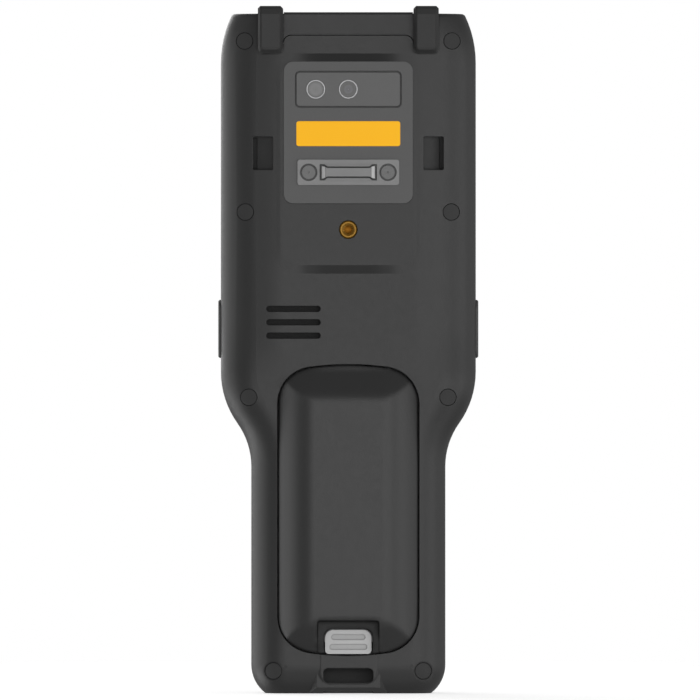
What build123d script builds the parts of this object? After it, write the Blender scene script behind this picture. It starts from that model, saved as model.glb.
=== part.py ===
from build123d import *
from math import asin, atan2, cos, degrees, pi, radians, sin, sqrt
import os

# Portable barcode terminal. Millimetres. X runs to the right as seen from behind, Z runs up the
# terminal's length from its flat bottom end, and the back with the battery faces -Y.

# Housing outline, seen from behind
grip_half_width = 28.7
head_half_width = 37.7
end_corner_radius = 10.5
end_overrun = 2.1
grip_side_top = 67.0
waist_radius = 22.0
shoulder_radius = 26.3
head_side_drop = 14.4
top_taper_radius = 32.1
top_corner_radius = 1.3
housing_top = 200.8

# Housing depth and walls
housing_back = -10.5
housing_front = 14.4
seam_y = 6.0
seal_thickness = 0.8
seal_inset = 0.3
seal_width = 1.2
wall = 1.6
back_rim_radius = 10.5
front_rim_radius = 3.0
rim_softening = 0.8
fit_gap = 0.05
part_gap = 0.3
hollow_turns = [0, 40, 90]
through = 60.0

# Raised back of the head and what sits on it
plateau_height = 1.8
plateau_half_width = 21.3
plateau_length = 65.0
plateau_drop = 11.8
plateau_slope = 2.5
plateau_corner = 5.0
plate_width = 38.1
plate_length = 41.9
plate_drop = 14.2
plate_corner = 2.8
plate_thickness = 1.0
plate_stand = 0.3
window_width = 30.9
window_height = 10.3
window_corner = 1.2
window_thickness = 0.7
window_groove = 0.3
window_drop = 8.2
lens_diameter = 5.5
lens_wall = 0.3
lens_aperture = 4.0
lens_thickness = 0.45
ring_stand = 0.08
camera_x = 0.0
flash_x = -9.6
label_width = 30.7
label_height = 7.4
label_corner = 0.8
label_drop = 21.3
label_thickness = 0.12
bracket_width = 30.0
bracket_height = 7.5
bracket_drop = 32.7
bracket_corner = 0.7
bracket_thickness = 0.5
bridge_half_span = 8.0
bridge_rise = 1.9
bridge_height = 2.5
bridge_foot_height = 4.2
bridge_slope_run = 1.3
bridge_end_gap = 0.45
bridge_side_gap = 0.3
bracket_screw_x = 11.7
bracket_screw_head = 4.1
bracket_screw_groove = 0.4
bracket_screw_dot = 0.6
bracket_screw_shank = 2.0
bracket_screw_length = 2.8
insert_drop = 49.6
insert_diameter = 5.4
insert_bore = 3.0
insert_length = 5.0
insert_sink = 0.4
insert_boss_wall = 1.6

# Sled pockets beside the plate
pocket_inset = 12.5
pocket_width = 6.0
pocket_length = 9.9
pocket_drop = 36.3
pocket_corner = 0.5
pocket_depth = 4.9
pocket_key_width = 1.3
pocket_key_depth = 0.9
pocket_wall = 1.2

# Housing screws, their bosses and rubber plugs
top_screw_inset = 7.1
top_screw_drop = 8.1
middle_screw_inset = 7.3
middle_screw_drop = 58.6
shoulder_screw_inset = 8.3
shoulder_screw_rise = 20.5
end_screw_inset = 6.6
end_screw_z = 6.7
screw_sides = 8
plug_diameter = 4.75
plug_groove = 0.15
plug_seat_depth = 4.2
screw_head = 4.2
screw_head_height = 1.8
screw_shank = 2.4
screw_end_y = 11.6
boss_diameter = 7.5
front_boss_diameter = 5.6

# Speaker behind three slots
speaker_inset = 21.5
speaker_z = 109.65
speaker_slot_length = 16.1
speaker_slot_height = 1.8
speaker_slot_spacing = 3.95
speaker_slots = 3
mesh_thickness = 0.4
speaker_depth = 3.6

# Battery pack, its bay and latch
pack_half_width = 20.5
pack_bottom = 11.7
pack_top = 96.8
pack_crown_radius = 87.0
pack_corner_radius = 10.5
pack_inner_y = -2.1
pack_wall = 1.6
bulge_height = 5.5
side_round_width = 10.5
side_edge_drop = 0.3
end_lip_width = 1.3
end_lip_rise = 0.15
end_slope_run = 7.6
end_softening = 5.0
bay_gap = 0.5
bay_wall = 1.4
base_thickness = 1.2
base_edge = 0.9
cell_room_bottom = 29.0
cell_room_top = 91.0
cell_room_half_width = 16.6
cell_room_depth = 8.6
cell_gap = 0.3
tongue_x = 8.0
tongue_width = 5.0
tongue_reach = 2.0
tongue_thickness = 1.6
tongue_inset_y = 0.7
tongue_pocket_gap = 0.4
deck_half_width = 9.2
deck_top = 21.7
deck_drop = 3.6
deck_groove = 0.3
deck_groove_depth = 0.4
deck_corner = 0.9
deck_roof = 0.8
pad_width = 13.7
pad_height = 7.1
pad_top_radius = 2.4
pad_bottom_radius = 1.1
pad_thickness = 0.5
pad_groove = 0.3
slide_gap = 0.1
latch_thickness = 1.6
latch_skirt = 1.1
latch_tail = 1.9
latch_travel = 2.0
grip_groove_height = 1.7
grip_groove_depth = 0.35
grip_groove_low_width = 11.2
grip_groove_high_width = 10.1
grip_groove_spacing = 2.9
spring_length = 5.6
spring_half_width = 2.6
spring_wire = 0.4
spring_folds = 6

# Hand strap bar at the bottom end
anchor_half_width = 9.4
anchor_root_half_width = 11.8
anchor_drop = 0.35
anchor_bottom = 1.7
anchor_depth = 3.8
anchor_face_lift = 0.1
anchor_face_half_width = 8.1
anchor_face_slope = 0.9
anchor_face_corner = 3.0
strap_slot_half_width = 7.4
strap_slot_bottom = 3.2
strap_slot_height = 4.3
strap_slot_corner = 1.4
strap_bar_depth = 2.6
strap_passage_depth = 4.5

# Scanner in the top end
bezel_height = 6.5
bumper_gap = 0.1
bezel_tuck = 1.0
bezel_ear_drop = 2.4
bezel_corner = 2.4
bezel_stand = 0.4
bezel_gap = 0.15
scan_window_width = 28.0
scan_window_depth = 9.4
scan_window_y = -2.4
scan_window_thickness = 1.2
scan_window_sink = 0.4
scan_window_rim = 1.2
engine_width = 22.0
engine_height = 12.0
engine_depth = 10.5

# Rubber bumpers over the top end
bumper_inset = 14.7
bumper_width = 7.4
bumper_back = -13.8
bumper_front = 15.4
bumper_rise = 2.2
bumper_back_drop = 11.8
bumper_front_drop = 6.4
bumper_edge = 0.9
bumper_toe = 1.8

# Display and front
glass_side = 6.7
glass_bottom = 95.5
glass_drop = 7.8
glass_corner = 3.0
glass_thickness = 1.2
glass_sink = 0.2
glass_ledge = 3.5
ledge_thickness = 1.2
panel_thickness = 2.6
ear_slot_drop = 4.6
ear_slot_length = 12.0
ear_slot_height = 1.3

# Keys: rows of (height above the bottom end, key width, key height, names from left to right)
key_spacing = 16.2
key_rows = [
    (86.0, 12.6, 4.6, ["key_back", "key_home", "key_menu"]),
    (73.4, 11.0, 8.6, ["key_left", "key_scan", "key_right"]),
    (59.8, 12.6, 7.2, ["key_1", "key_2", "key_3"]),
    (49.2, 12.6, 7.2, ["key_4", "key_5", "key_6"]),
    (38.6, 12.6, 7.2, ["key_7", "key_8", "key_9"]),
    (28.0, 12.6, 7.2, ["key_clear", "key_0", "key_enter"]),
    (16.6, 12.6, 5.6, ["key_shift", "key_power", "key_tab"]),
]
scan_key_width = 17.0
scan_key_height = 11.0
scan_key_top = 16.0
scan_key_rise = 0.3
key_corner = 1.3
key_edge = 0.5
key_gap = 0.25
key_flange = 0.7
key_flange_thickness = 0.8
key_travel = 0.7

# Side keys
side_key_z = 107.7
side_key_length = 17.2
side_key_width = 5.5
side_key_y = 1.8
side_key_stand = 0.75
side_key_gap = 0.25
side_key_flange = 0.9
side_key_flange_thickness = 0.8
side_key_travel = 0.6
side_switch_depth = 2.4
side_switch_length = 7.5

# Boards and inner frame
frame_y = 7.6
frame_thickness = 1.4
frame_gap = 0.5
frame_bottom = 3.0
key_rest_gap = 0.1
keypad_board_thickness = 1.2
keypad_side = 4.1
keypad_bottom = 10.5
keypad_top = 91.5
board_thickness = 1.2
board_stand = 1.4
board_side = 11.9
board_bottom = 101.5
board_drop = 12.8
board_post = 4.0
usb_width = 9.0
usb_height = 3.3
usb_length = 7.2
usb_wall = 0.35
usb_tongue_width = 6.6
usb_tongue_thickness = 0.7
usb_y = 10.4
contact_z = 86.0
contact_width = 2.0
contact_spacing = 3.2
contact_count = 5
contact_length = 5.0
contact_stand = 0.25

# Places that follow from the sizes above
head_side_top = housing_top - head_side_drop
plateau_top = housing_top - plateau_drop
plateau_bottom = plateau_top - plateau_length
plate_top = housing_top - plate_drop
plate_bottom = plate_top - plate_length
window_z = plate_top - window_drop
label_z = plate_top - label_drop
bracket_z = plate_top - bracket_drop
insert_z = plate_top - insert_drop
pocket_x = head_half_width - pocket_inset
pocket_top = housing_top - pocket_drop
pocket_bottom = pocket_top - pocket_length
screw_places = [
    (head_half_width - top_screw_inset, housing_top - top_screw_drop),
    (head_half_width - middle_screw_inset, housing_top - middle_screw_drop),
    (head_half_width - shoulder_screw_inset, grip_side_top + shoulder_screw_rise),
    (grip_half_width - end_screw_inset, end_screw_z),
]
speaker_x = speaker_inset - head_half_width
bumper_x = head_half_width - bumper_inset
bezel_bottom = housing_top - bezel_height
bezel_half_width = bumper_x - bumper_width / 2 - bumper_gap
bumper_top = housing_top + bumper_rise
bumper_back_bottom = housing_top - bumper_back_drop
bumper_front_bottom = housing_top - bumper_front_drop
glass_width = 2 * (head_half_width - glass_side)
glass_top = housing_top - glass_drop
ear_slot_z = housing_top - ear_slot_drop
board_half_width = head_half_width - board_side
board_top = housing_top - board_drop
keypad_half_width = grip_half_width - keypad_side
key_top = scan_key_top - scan_key_rise
seam_back = seam_y - seal_thickness / 2
seam_front = seam_y + seal_thickness / 2
inner_back = housing_back + wall
inner_front = housing_front - wall
plateau_y = housing_back - plateau_height
plate_y = plateau_y - plate_stand
plate_seat_y = plate_y + plate_thickness
window_seat_y = plate_y + window_thickness
bulge_y = housing_back - bulge_height
pack_deck_y = bulge_y + deck_drop
bay_floor_y = pack_inner_y + bay_gap
base_seat_y = pack_inner_y - base_thickness
plug_seat_y = housing_back + plug_seat_depth
screw_seat_y = plug_seat_y + screw_head_height
latch_face_y = pack_deck_y + deck_roof + slide_gap
latch_bottom = pack_bottom + fit_gap
glass_back = housing_front - glass_sink - glass_thickness
panel_back = glass_back - panel_thickness
frame_front = frame_y + frame_thickness
board_front = frame_y - board_stand
key_base = inner_front - part_gap - key_flange_thickness
mat_front = key_base - key_travel - key_rest_gap


def at_depth(y):
    # Sketch plane at depth y. Local x runs right, local y runs up, and extruding goes to the back.
    return Plane.XZ.offset(-y)


def housing_outline(inset, overrun):
    # Outline of the housing moved inwards by inset. Its arcs run past both flat ends.
    corner_x = grip_half_width - end_corner_radius
    corner_z = end_corner_radius - end_overrun
    low = corner_z - end_corner_radius + inset
    high = housing_top + overrun
    waist_x = grip_half_width + waist_radius
    shoulder_x = head_half_width - shoulder_radius
    reach = waist_radius + shoulder_radius
    shoulder_z = grip_side_top + sqrt(reach**2 - (waist_x - shoulder_x) ** 2)
    turn = degrees(atan2(shoulder_z - grip_side_top, waist_x - shoulder_x))
    taper_x = head_half_width - top_taper_radius
    taper = top_taper_radius - inset
    taper_turn = asin((high - head_side_top) / taper)
    with BuildSketch() as outline:
        with BuildLine():
            Line((0, low), (corner_x, low))
            CenterArc((corner_x, corner_z), end_corner_radius - inset, -90, 90)
            Line((grip_half_width - inset, corner_z), (grip_half_width - inset, grip_side_top))
            CenterArc((waist_x, grip_side_top), waist_radius + inset, 180, -turn)
            CenterArc((shoulder_x, shoulder_z), shoulder_radius - inset, -turn, turn)
            Line((head_half_width - inset, shoulder_z), (head_half_width - inset, head_side_top))
            CenterArc((taper_x, head_side_top), taper, 0, degrees(taper_turn))
            Line((taper_x + taper * cos(taper_turn), high), (0, high))
            mirror(about=Plane.YZ)
        make_face()
    return outline.sketch


def end_cut_outline(side_inset, end_inset):
    # The same outline, closed by the two flat ends.
    with BuildSketch() as outline:
        add(housing_outline(side_inset, end_overrun))
        with Locations((0, housing_top / 2)):
            Rectangle(3 * head_half_width, housing_top - 2 * end_inset, mode=Mode.INTERSECT)
    return outline.sketch


def rear_form():
    # Rear half as a solid with its back rim rounded over, cut off flat at both ends.
    with BuildPart() as form:
        with BuildSketch(at_depth(seam_back)):
            add(housing_outline(0, back_rim_radius + end_overrun))
        extrude(amount=seam_back - housing_back)
        fillet(form.faces().sort_by(Axis.Y)[0].edges(), back_rim_radius)
        split(bisect_by=Plane.XY, keep=Keep.TOP)
        split(bisect_by=Plane.XY.offset(housing_top), keep=Keep.BOTTOM)
    return form.part


def hollow_form():
    # Inside of the rear half. It follows the rounded rim in steps that each keep the full wall.
    inner_radius = back_rim_radius - wall
    with BuildPart() as form:
        for turn in hollow_turns:
            step_inset = back_rim_radius - inner_radius * cos(radians(turn))
            step_y = housing_back + back_rim_radius - inner_radius * sin(radians(turn))
            with BuildSketch(at_depth(seam_back)):
                add(end_cut_outline(step_inset, wall))
            extrude(amount=seam_back - step_y)
    return form.part


def plateau_form():
    # Raised back of the head with a slope all round.
    middle = (plateau_bottom + plateau_top) / 2
    height = plateau_top - plateau_bottom
    with BuildPart() as plateau:
        with BuildSketch(at_depth(housing_back)):
            with Locations((0, middle)):
                RectangleRounded(2 * plateau_half_width, height, plateau_corner)
        with BuildSketch(at_depth(plateau_y)):
            with Locations((0, middle)):
                RectangleRounded(
                    2 * plateau_half_width - plateau_slope, height - 2 * plateau_slope, plateau_corner
                )
        loft()
    return plateau.part


def anchor_form():
    # Block at the bottom end that carries the strap bar, wider at its root, with a raised face.
    shelf_y = housing_back + anchor_drop
    face_top = pack_bottom + bay_gap
    with BuildPart() as block:
        with BuildSketch(at_depth(shelf_y)):
            with Locations((0, (anchor_bottom + face_top) / 2)):
                Rectangle(2 * anchor_half_width, face_top - anchor_bottom)
        with BuildSketch(at_depth(shelf_y + anchor_depth)):
            with Locations((0, face_top / 2)):
                Rectangle(2 * anchor_root_half_width, face_top)
        loft()
        for y, grow in ((shelf_y, anchor_face_slope), (housing_back - anchor_face_lift, 0)):
            with BuildSketch(at_depth(y)) as face:
                with Locations((0, strap_slot_bottom - grow / 2)):
                    Rectangle(
                        2 * anchor_face_half_width + 2 * grow,
                        face_top - strap_slot_bottom + grow / 2,
                        align=(Align.CENTER, Align.MIN),
                    )
                fillet(face.vertices().group_by(Axis.Y)[0], anchor_face_corner + grow)
        loft()
    return block.part


def pack_outline(inset):
    # Outline of the battery pack moved inwards by inset: crowned ends and round corners.
    half = pack_half_width - inset
    low = pack_bottom + inset
    high = pack_top - inset
    crown = pack_crown_radius - inset
    rise = crown - sqrt(crown**2 - half**2)
    with BuildSketch() as outline:
        with BuildLine():
            ThreePointArc((-half, low + rise), (0, low), (half, low + rise))
            Line((half, low + rise), (half, high - rise))
            ThreePointArc((half, high - rise), (0, high), (-half, high - rise))
            Line((-half, high - rise), (-half, low + rise))
        make_face()
        fillet(outline.vertices(), pack_corner_radius - inset)
    return outline.sketch


def bezel_outline(gap):
    # Top cap between the bumpers: two ears reach down beside the rounded tongue of the housing.
    half = bezel_half_width + bezel_tuck - gap
    low = bezel_bottom - bezel_ear_drop + gap
    with BuildSketch() as outline:
        with Locations((0, low)):
            Rectangle(2 * half, housing_top - low, align=(Align.CENTER, Align.MIN))
            Rectangle(
                2 * bezel_half_width - 2 * gap,
                housing_top + bezel_stand - low,
                align=(Align.CENTER, Align.MIN),
            )
        with Locations((0, bezel_bottom + gap)):
            RectangleRounded(
                2 * bezel_half_width + 2 * gap,
                4 * bezel_corner + 2 * bezel_ear_drop,
                bezel_corner,
                align=(Align.CENTER, Align.MAX),
                mode=Mode.SUBTRACT,
            )
    return outline.sketch


def mirrored_places(places):
    return [(side * x, z) for x, z in places for side in (-1, 1)]


def cut_through(sketch, y, amount):
    # Sketch laid at depth y and pushed towards the back as a solid of its own.
    with BuildPart() as body:
        with BuildSketch(at_depth(y)):
            add(sketch)
        extrude(amount=amount)
    return body.part


def box_between(x, y, z):
    # Plain block from three (low, high) pairs.
    with BuildPart() as block:
        with Locations((x[0], y[0], z[0])):
            Box(x[1] - x[0], y[1] - y[0], z[1] - z[0], align=(Align.MIN, Align.MIN, Align.MIN))
    return block.part


def rear_cavity():
    # Hollow of the rear half, less the bay walls, pocket walls, bosses and the strap block.
    bay_back_y = bay_floor_y + bay_wall
    tongue_room = tongue_x + tongue_width / 2 + tongue_pocket_gap + bay_wall
    tongue_room_top = pack_top + tongue_reach + tongue_pocket_gap + bay_wall
    with BuildPart() as cavity:
        add(hollow_form())
        add(cut_through(pack_outline(-bay_gap - bay_wall), bay_back_y, through), mode=Mode.SUBTRACT)
        add(
            box_between(
                (-tongue_room, tongue_room),
                (housing_back, bay_back_y),
                (pack_top - pack_corner_radius, tongue_room_top),
            ),
            mode=Mode.SUBTRACT,
        )
        add(
            box_between(
                (-anchor_root_half_width, anchor_root_half_width),
                (housing_back, bay_back_y),
                (0, pack_bottom),
            ),
            mode=Mode.SUBTRACT,
        )
        for side in (-1, 1):
            with BuildSketch(at_depth(housing_back + pocket_depth + pocket_key_depth + pocket_wall)):
                with Locations((side * pocket_x, (pocket_bottom + pocket_top) / 2)):
                    Rectangle(
                        pocket_width + 2 * pocket_wall, pocket_top - pocket_bottom + 2 * pocket_wall
                    )
            extrude(amount=through, mode=Mode.SUBTRACT)
        with BuildSketch(at_depth(seam_back)):
            with Locations(*mirrored_places(screw_places)):
                RegularPolygon(boss_diameter / 2, screw_sides)
        extrude(amount=through, mode=Mode.SUBTRACT)
        with BuildSketch(at_depth(housing_back - plateau_height + insert_sink + insert_length + wall)):
            with Locations((0, insert_z)):
                Circle(insert_diameter / 2 + insert_boss_wall)
        extrude(amount=through, mode=Mode.SUBTRACT)
    return cavity.part


def make_rear_housing():
    with BuildPart() as rear_housing:
        add(rear_form())
        top_corners = rear_housing.edges().filter_by(Axis.Y).group_by(Axis.Z)[-1]
        fillet(top_corners, top_corner_radius)
        add(plateau_form())
        add(anchor_form())
        add(rear_cavity(), mode=Mode.SUBTRACT)
        # Bosses run on through the seam to the inner frame. What the screws hide is eight-sided.
        with BuildSketch(at_depth(frame_y - fit_gap)):
            with Locations(*mirrored_places(screw_places)):
                RegularPolygon(boss_diameter / 2, screw_sides)
        extrude(amount=frame_y - seam_back + wall)
        # Screw holes with a wider seat for the head and the rubber plug.
        with BuildSketch(at_depth(frame_y)):
            with Locations(*mirrored_places(screw_places)):
                RegularPolygon(screw_shank / 2 + fit_gap, screw_sides)
        extrude(amount=through, mode=Mode.SUBTRACT)
        with BuildSketch(at_depth(screw_seat_y)):
            with Locations(*mirrored_places(screw_places)):
                Circle(plug_diameter / 2 + plug_groove)
        extrude(amount=through, mode=Mode.SUBTRACT)
        # Battery bay with two pockets for the pack's tongues.
        add(cut_through(pack_outline(-bay_gap), bay_floor_y, through), mode=Mode.SUBTRACT)
        for side in (-1, 1):
            half = tongue_width / 2 + tongue_pocket_gap
            back = base_seat_y - tongue_inset_y - tongue_thickness - tongue_pocket_gap
            top = pack_top + tongue_reach + tongue_pocket_gap
            add(
                box_between(
                    (side * tongue_x - half, side * tongue_x + half),
                    (back, bay_floor_y),
                    (pack_top - pack_corner_radius, top),
                ),
                mode=Mode.SUBTRACT,
            )
        with BuildSketch(at_depth(bay_floor_y + bay_wall)):
            with Locations((0, contact_z)):
                Rectangle(contact_count * contact_spacing + 2 * fit_gap, contact_length + 2 * fit_gap)
        extrude(amount=2 * bay_wall, mode=Mode.SUBTRACT)
        # Strap slot from the back, and the passage behind the bar to the bottom end.
        bar_y = housing_back - anchor_face_lift + strap_bar_depth
        with BuildSketch(at_depth(bar_y + strap_passage_depth)):
            with Locations((0, strap_slot_bottom + strap_slot_height / 2)):
                RectangleRounded(2 * strap_slot_half_width, strap_slot_height, strap_slot_corner)
        extrude(amount=through, mode=Mode.SUBTRACT)
        add(
            box_between(
                (-strap_slot_half_width, strap_slot_half_width),
                (bar_y, bar_y + strap_passage_depth),
                (-wall, strap_slot_bottom + strap_slot_height - strap_slot_corner),
            ),
            mode=Mode.SUBTRACT,
        )
        # Sled pockets, each with a deeper keyway along its outer side.
        for side in (-1, 1):
            height = pocket_top - pocket_bottom
            with BuildSketch(at_depth(housing_back + pocket_depth)):
                with Locations((side * pocket_x, (pocket_bottom + pocket_top) / 2)):
                    RectangleRounded(pocket_width, height, pocket_corner)
            extrude(amount=through, mode=Mode.SUBTRACT)
            with BuildSketch(at_depth(housing_back + pocket_depth + pocket_key_depth)):
                key_x = pocket_x + pocket_width / 2 - pocket_key_width / 2
                with Locations((side * key_x, (pocket_bottom + pocket_top) / 2)):
                    Rectangle(pocket_key_width, height - 2 * pocket_corner)
            extrude(amount=pocket_depth, mode=Mode.SUBTRACT)
        # Seat for the rear plate, and the opening for the camera behind it.
        with BuildSketch(at_depth(plate_seat_y)):
            with Locations((0, (plate_bottom + plate_top) / 2)):
                RectangleRounded(
                    plate_width + 2 * fit_gap, plate_top - plate_bottom + 2 * fit_gap, plate_corner
                )
        extrude(amount=through, mode=Mode.SUBTRACT)
        with BuildSketch(at_depth(inner_back)):
            with Locations(((camera_x + flash_x) / 2, window_z)):
                SlotCenterToCenter(abs(camera_x - flash_x), lens_diameter)
            with Locations((-bracket_screw_x, bracket_z), (bracket_screw_x, bracket_z)):
                Circle(bracket_screw_shank / 2 + fit_gap)
        extrude(amount=through, mode=Mode.SUBTRACT)
        # Threaded insert.
        with BuildSketch(at_depth(plateau_y + insert_sink + insert_length)):
            with Locations((0, insert_z)):
                Circle(insert_diameter / 2 + fit_gap)
        extrude(amount=through, mode=Mode.SUBTRACT)
        # Speaker slots.
        with BuildSketch(at_depth(inner_back + wall)):
            with Locations((speaker_x, speaker_z)):
                with GridLocations(1, speaker_slot_spacing, 1, speaker_slots):
                    SlotOverall(speaker_slot_length, speaker_slot_height)
        extrude(amount=4 * wall, mode=Mode.SUBTRACT)
        # Side key openings.
        with BuildSketch(Plane.YZ):
            with Locations((side_key_y, side_key_z)):
                SlotOverall(
                    side_key_length + 2 * side_key_gap, side_key_width + 2 * side_key_gap, rotation=90
                )
        extrude(amount=2 * head_half_width, both=True, mode=Mode.SUBTRACT)
        flange_room = head_half_width - wall
        with BuildSketch(Plane.YZ):
            with Locations((side_key_y, side_key_z)):
                Rectangle(
                    side_key_width + 2 * side_key_flange + 2 * side_key_gap,
                    side_key_length + 2 * side_key_flange + 2 * side_key_gap,
                )
        extrude(amount=flange_room, both=True, mode=Mode.SUBTRACT)
        # Notch for the scanner's cap.
        add(cut_through(bezel_outline(0), seam_back, through), mode=Mode.SUBTRACT)
    rear_housing.part.label = "rear_housing"
    return rear_housing.part


def key_places():
    # Each front key as (name, x, z, width, height).
    places = []
    for z, width, height, names in key_rows:
        for column, name in enumerate(names):
            x = (1 - column) * key_spacing
            if name == "key_scan":
                places.append((name, x, z, scan_key_width, scan_key_height))
            else:
                shift = (scan_key_width - width) / 2 if "key_scan" in names else 0
                places.append((name, x + (1 - column) * shift, z, width, height))
    return places


def key_outline(width, height, gap):
    # Key outline grown by gap, with its corners cut off.
    with BuildSketch() as outline:
        Rectangle(width + 2 * gap, height + 2 * gap)
        chamfer(outline.vertices(), key_corner + gap * (2 - sqrt(2)))
    return outline.sketch


def make_front_housing():
    middle = (glass_bottom + glass_top) / 2
    height = glass_top - glass_bottom
    with BuildPart() as front_housing:
        with BuildSketch(at_depth(housing_front)):
            add(end_cut_outline(0, 0))
        extrude(amount=housing_front - seam_front)
        fillet(front_housing.edges().filter_by(Axis.Y).group_by(Axis.Z)[-1], top_corner_radius)
        fillet(front_housing.faces().sort_by(Axis.Y)[-1].edges(), front_rim_radius)
        with BuildSketch(at_depth(inner_front)):
            add(end_cut_outline(wall, wall))
        extrude(amount=inner_front - seam_front, mode=Mode.SUBTRACT)
        # Screw bosses stand on the inside of the front and end at the inner frame.
        with BuildSketch(at_depth(inner_front)):
            with Locations(*mirrored_places(screw_places)):
                RegularPolygon(front_boss_diameter / 2, screw_sides)
        extrude(amount=inner_front - frame_front - fit_gap)
        with BuildSketch(at_depth(screw_end_y + fit_gap)):
            with Locations(*mirrored_places(screw_places)):
                RegularPolygon(screw_shank / 2 + fit_gap, screw_sides)
        extrude(amount=screw_end_y, mode=Mode.SUBTRACT)
        # Display opening with a ledge that carries the glass.
        with BuildSketch(at_depth(inner_front)):
            with Locations((0, middle)):
                Rectangle(glass_width + 2 * wall, height + 2 * wall)
        extrude(amount=ledge_thickness)
        with BuildSketch(at_depth(housing_front)):
            with Locations((0, middle)):
                RectangleRounded(glass_width + 2 * fit_gap, height + 2 * fit_gap, glass_corner)
        extrude(amount=glass_sink + glass_thickness, mode=Mode.SUBTRACT)
        with BuildSketch(at_depth(housing_front)):
            with Locations((0, middle)):
                Rectangle(glass_width - 2 * glass_ledge, height - 2 * glass_ledge)
            with Locations((0, ear_slot_z)):
                SlotOverall(ear_slot_length, ear_slot_height)
            for name, x, z, width, key_height in key_places():
                with Locations((x, z)):
                    add(key_outline(width, key_height, key_gap))
        extrude(amount=wall + 2 * ledge_thickness, mode=Mode.SUBTRACT)
        # Charging socket in the bottom end.
        with BuildSketch(Plane.XY):
            with Locations((0, usb_y)):
                SlotOverall(usb_width + 2 * fit_gap, usb_height + 2 * fit_gap)
        extrude(amount=2 * wall, mode=Mode.SUBTRACT)
    front_housing.part.label = "front_housing"
    return front_housing.part


def make_housing_seal():
    with BuildPart() as housing_seal:
        with BuildSketch(at_depth(seam_front)):
            add(end_cut_outline(seal_inset, seal_inset))
            seal_inner = seal_inset + seal_width
            add(end_cut_outline(seal_inner, seal_inner), mode=Mode.SUBTRACT)
        extrude(amount=seal_thickness)
    housing_seal.part.label = "housing_seal"
    return housing_seal.part


def housing_form():
    # Whole outside of the housing as one solid, which the bumpers are shaped on.
    with BuildPart() as form:
        add(rear_form())
        add(plateau_form())
        with BuildSketch(at_depth(housing_front)):
            add(end_cut_outline(0, 0))
        extrude(amount=housing_front - seam_back)
        add(cut_through(bezel_outline(0), seam_front, seam_front - housing_back))
    return form.part


def make_bumper(name, side, form):
    # Rubber rib that runs from the back over the top end to the front, with bevelled edges.
    inside = housing_back + bumper_toe
    with BuildPart() as bumper:
        with BuildSketch(Plane.YZ.offset(side * bumper_x - bumper_width / 2)):
            with BuildLine():
                Polyline(
                    (inside, bumper_back_bottom),
                    (bumper_back + bumper_edge, bumper_back_bottom),
                    (bumper_back, bumper_back_bottom + bumper_toe),
                    (bumper_back, bumper_top - bumper_edge),
                    (bumper_back + bumper_edge, bumper_top),
                    (bumper_front - bumper_edge, bumper_top),
                    (bumper_front, bumper_top - bumper_edge),
                    (bumper_front, bumper_front_bottom + bumper_edge),
                    (bumper_front - bumper_edge / 2, bumper_front_bottom),
                    (inner_front, bumper_front_bottom),
                    close=True,
                )
            make_face()
        extrude(amount=bumper_width)
        sides = bumper.faces().filter_by(Axis.X)
        chamfer(sides.edges(), bumper_edge * 0.8)
        add(form, mode=Mode.SUBTRACT)
    bumper.part.label = name
    return bumper.part


def make_scan_bezel():
    with BuildPart() as scan_bezel:
        with BuildSketch(at_depth(seam_back - fit_gap)):
            add(bezel_outline(bezel_gap))
        extrude(amount=seam_back - fit_gap - housing_back)
        top_back = scan_bezel.edges().filter_by(Axis.X).group_by(Axis.Z)[-1].sort_by(Axis.Y)[0]
        fillet(top_back, rim_softening)
        window_top = housing_top + bezel_stand
        with BuildSketch(Plane.XY.offset(window_top)):
            with Locations((0, scan_window_y)):
                RectangleRounded(
                    scan_window_width + 2 * fit_gap, scan_window_depth + 2 * fit_gap, scan_window_rim
                )
        extrude(amount=-scan_window_sink - scan_window_thickness, mode=Mode.SUBTRACT)
        with BuildSketch(Plane.XY.offset(window_top)):
            with Locations((0, scan_window_y)):
                Rectangle(
                    scan_window_width - 2 * scan_window_rim, scan_window_depth - 2 * scan_window_rim
                )
        extrude(amount=-through, mode=Mode.SUBTRACT)
    scan_bezel.part.label = "scan_bezel"
    return scan_bezel.part


def make_scan_window():
    with BuildPart() as scan_window:
        with BuildSketch(Plane.XY.offset(housing_top + bezel_stand - scan_window_sink)):
            with Locations((0, scan_window_y)):
                RectangleRounded(scan_window_width, scan_window_depth, scan_window_rim)
        extrude(amount=-scan_window_thickness)
    scan_window.part.label = "scan_window"
    return scan_window.part


def make_scan_engine():
    # Imager block under the cap, with two round lenses that look out of the top end.
    top = bezel_bottom + bezel_gap - fit_gap
    with BuildPart() as scan_engine:
        with BuildSketch(Plane.XY.offset(top)):
            with Locations((0, scan_window_y)):
                Rectangle(engine_width, engine_depth)
        extrude(amount=-engine_height)
        with BuildSketch(Plane.XY.offset(top)):
            with Locations((-engine_width / 4, scan_window_y), (engine_width / 4, scan_window_y)):
                Circle(scan_window_depth / 4)
        extrude(amount=scan_window_thickness)
    scan_engine.part.label = "scan_engine"
    return scan_engine.part


def make_rear_plate():
    with BuildPart() as rear_plate:
        with BuildSketch(at_depth(plate_seat_y)):
            with Locations((0, (plate_bottom + plate_top) / 2)):
                RectangleRounded(plate_width, plate_top - plate_bottom, plate_corner)
            with Locations((-bracket_screw_x, bracket_z), (bracket_screw_x, bracket_z)):
                Circle(bracket_screw_shank / 2 + fit_gap, mode=Mode.SUBTRACT)
            with Locations((camera_x, window_z), (flash_x, window_z)):
                Circle(lens_aperture / 2, mode=Mode.SUBTRACT)
        extrude(amount=plate_thickness)
        with BuildSketch(at_depth(window_seat_y)):
            with Locations((0, window_z)):
                RectangleRounded(
                    window_width + 2 * window_groove,
                    window_height + 2 * window_groove,
                    window_corner + window_groove,
                )
        extrude(amount=plate_thickness, mode=Mode.SUBTRACT)
    rear_plate.part.label = "rear_plate"
    return rear_plate.part


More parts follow.
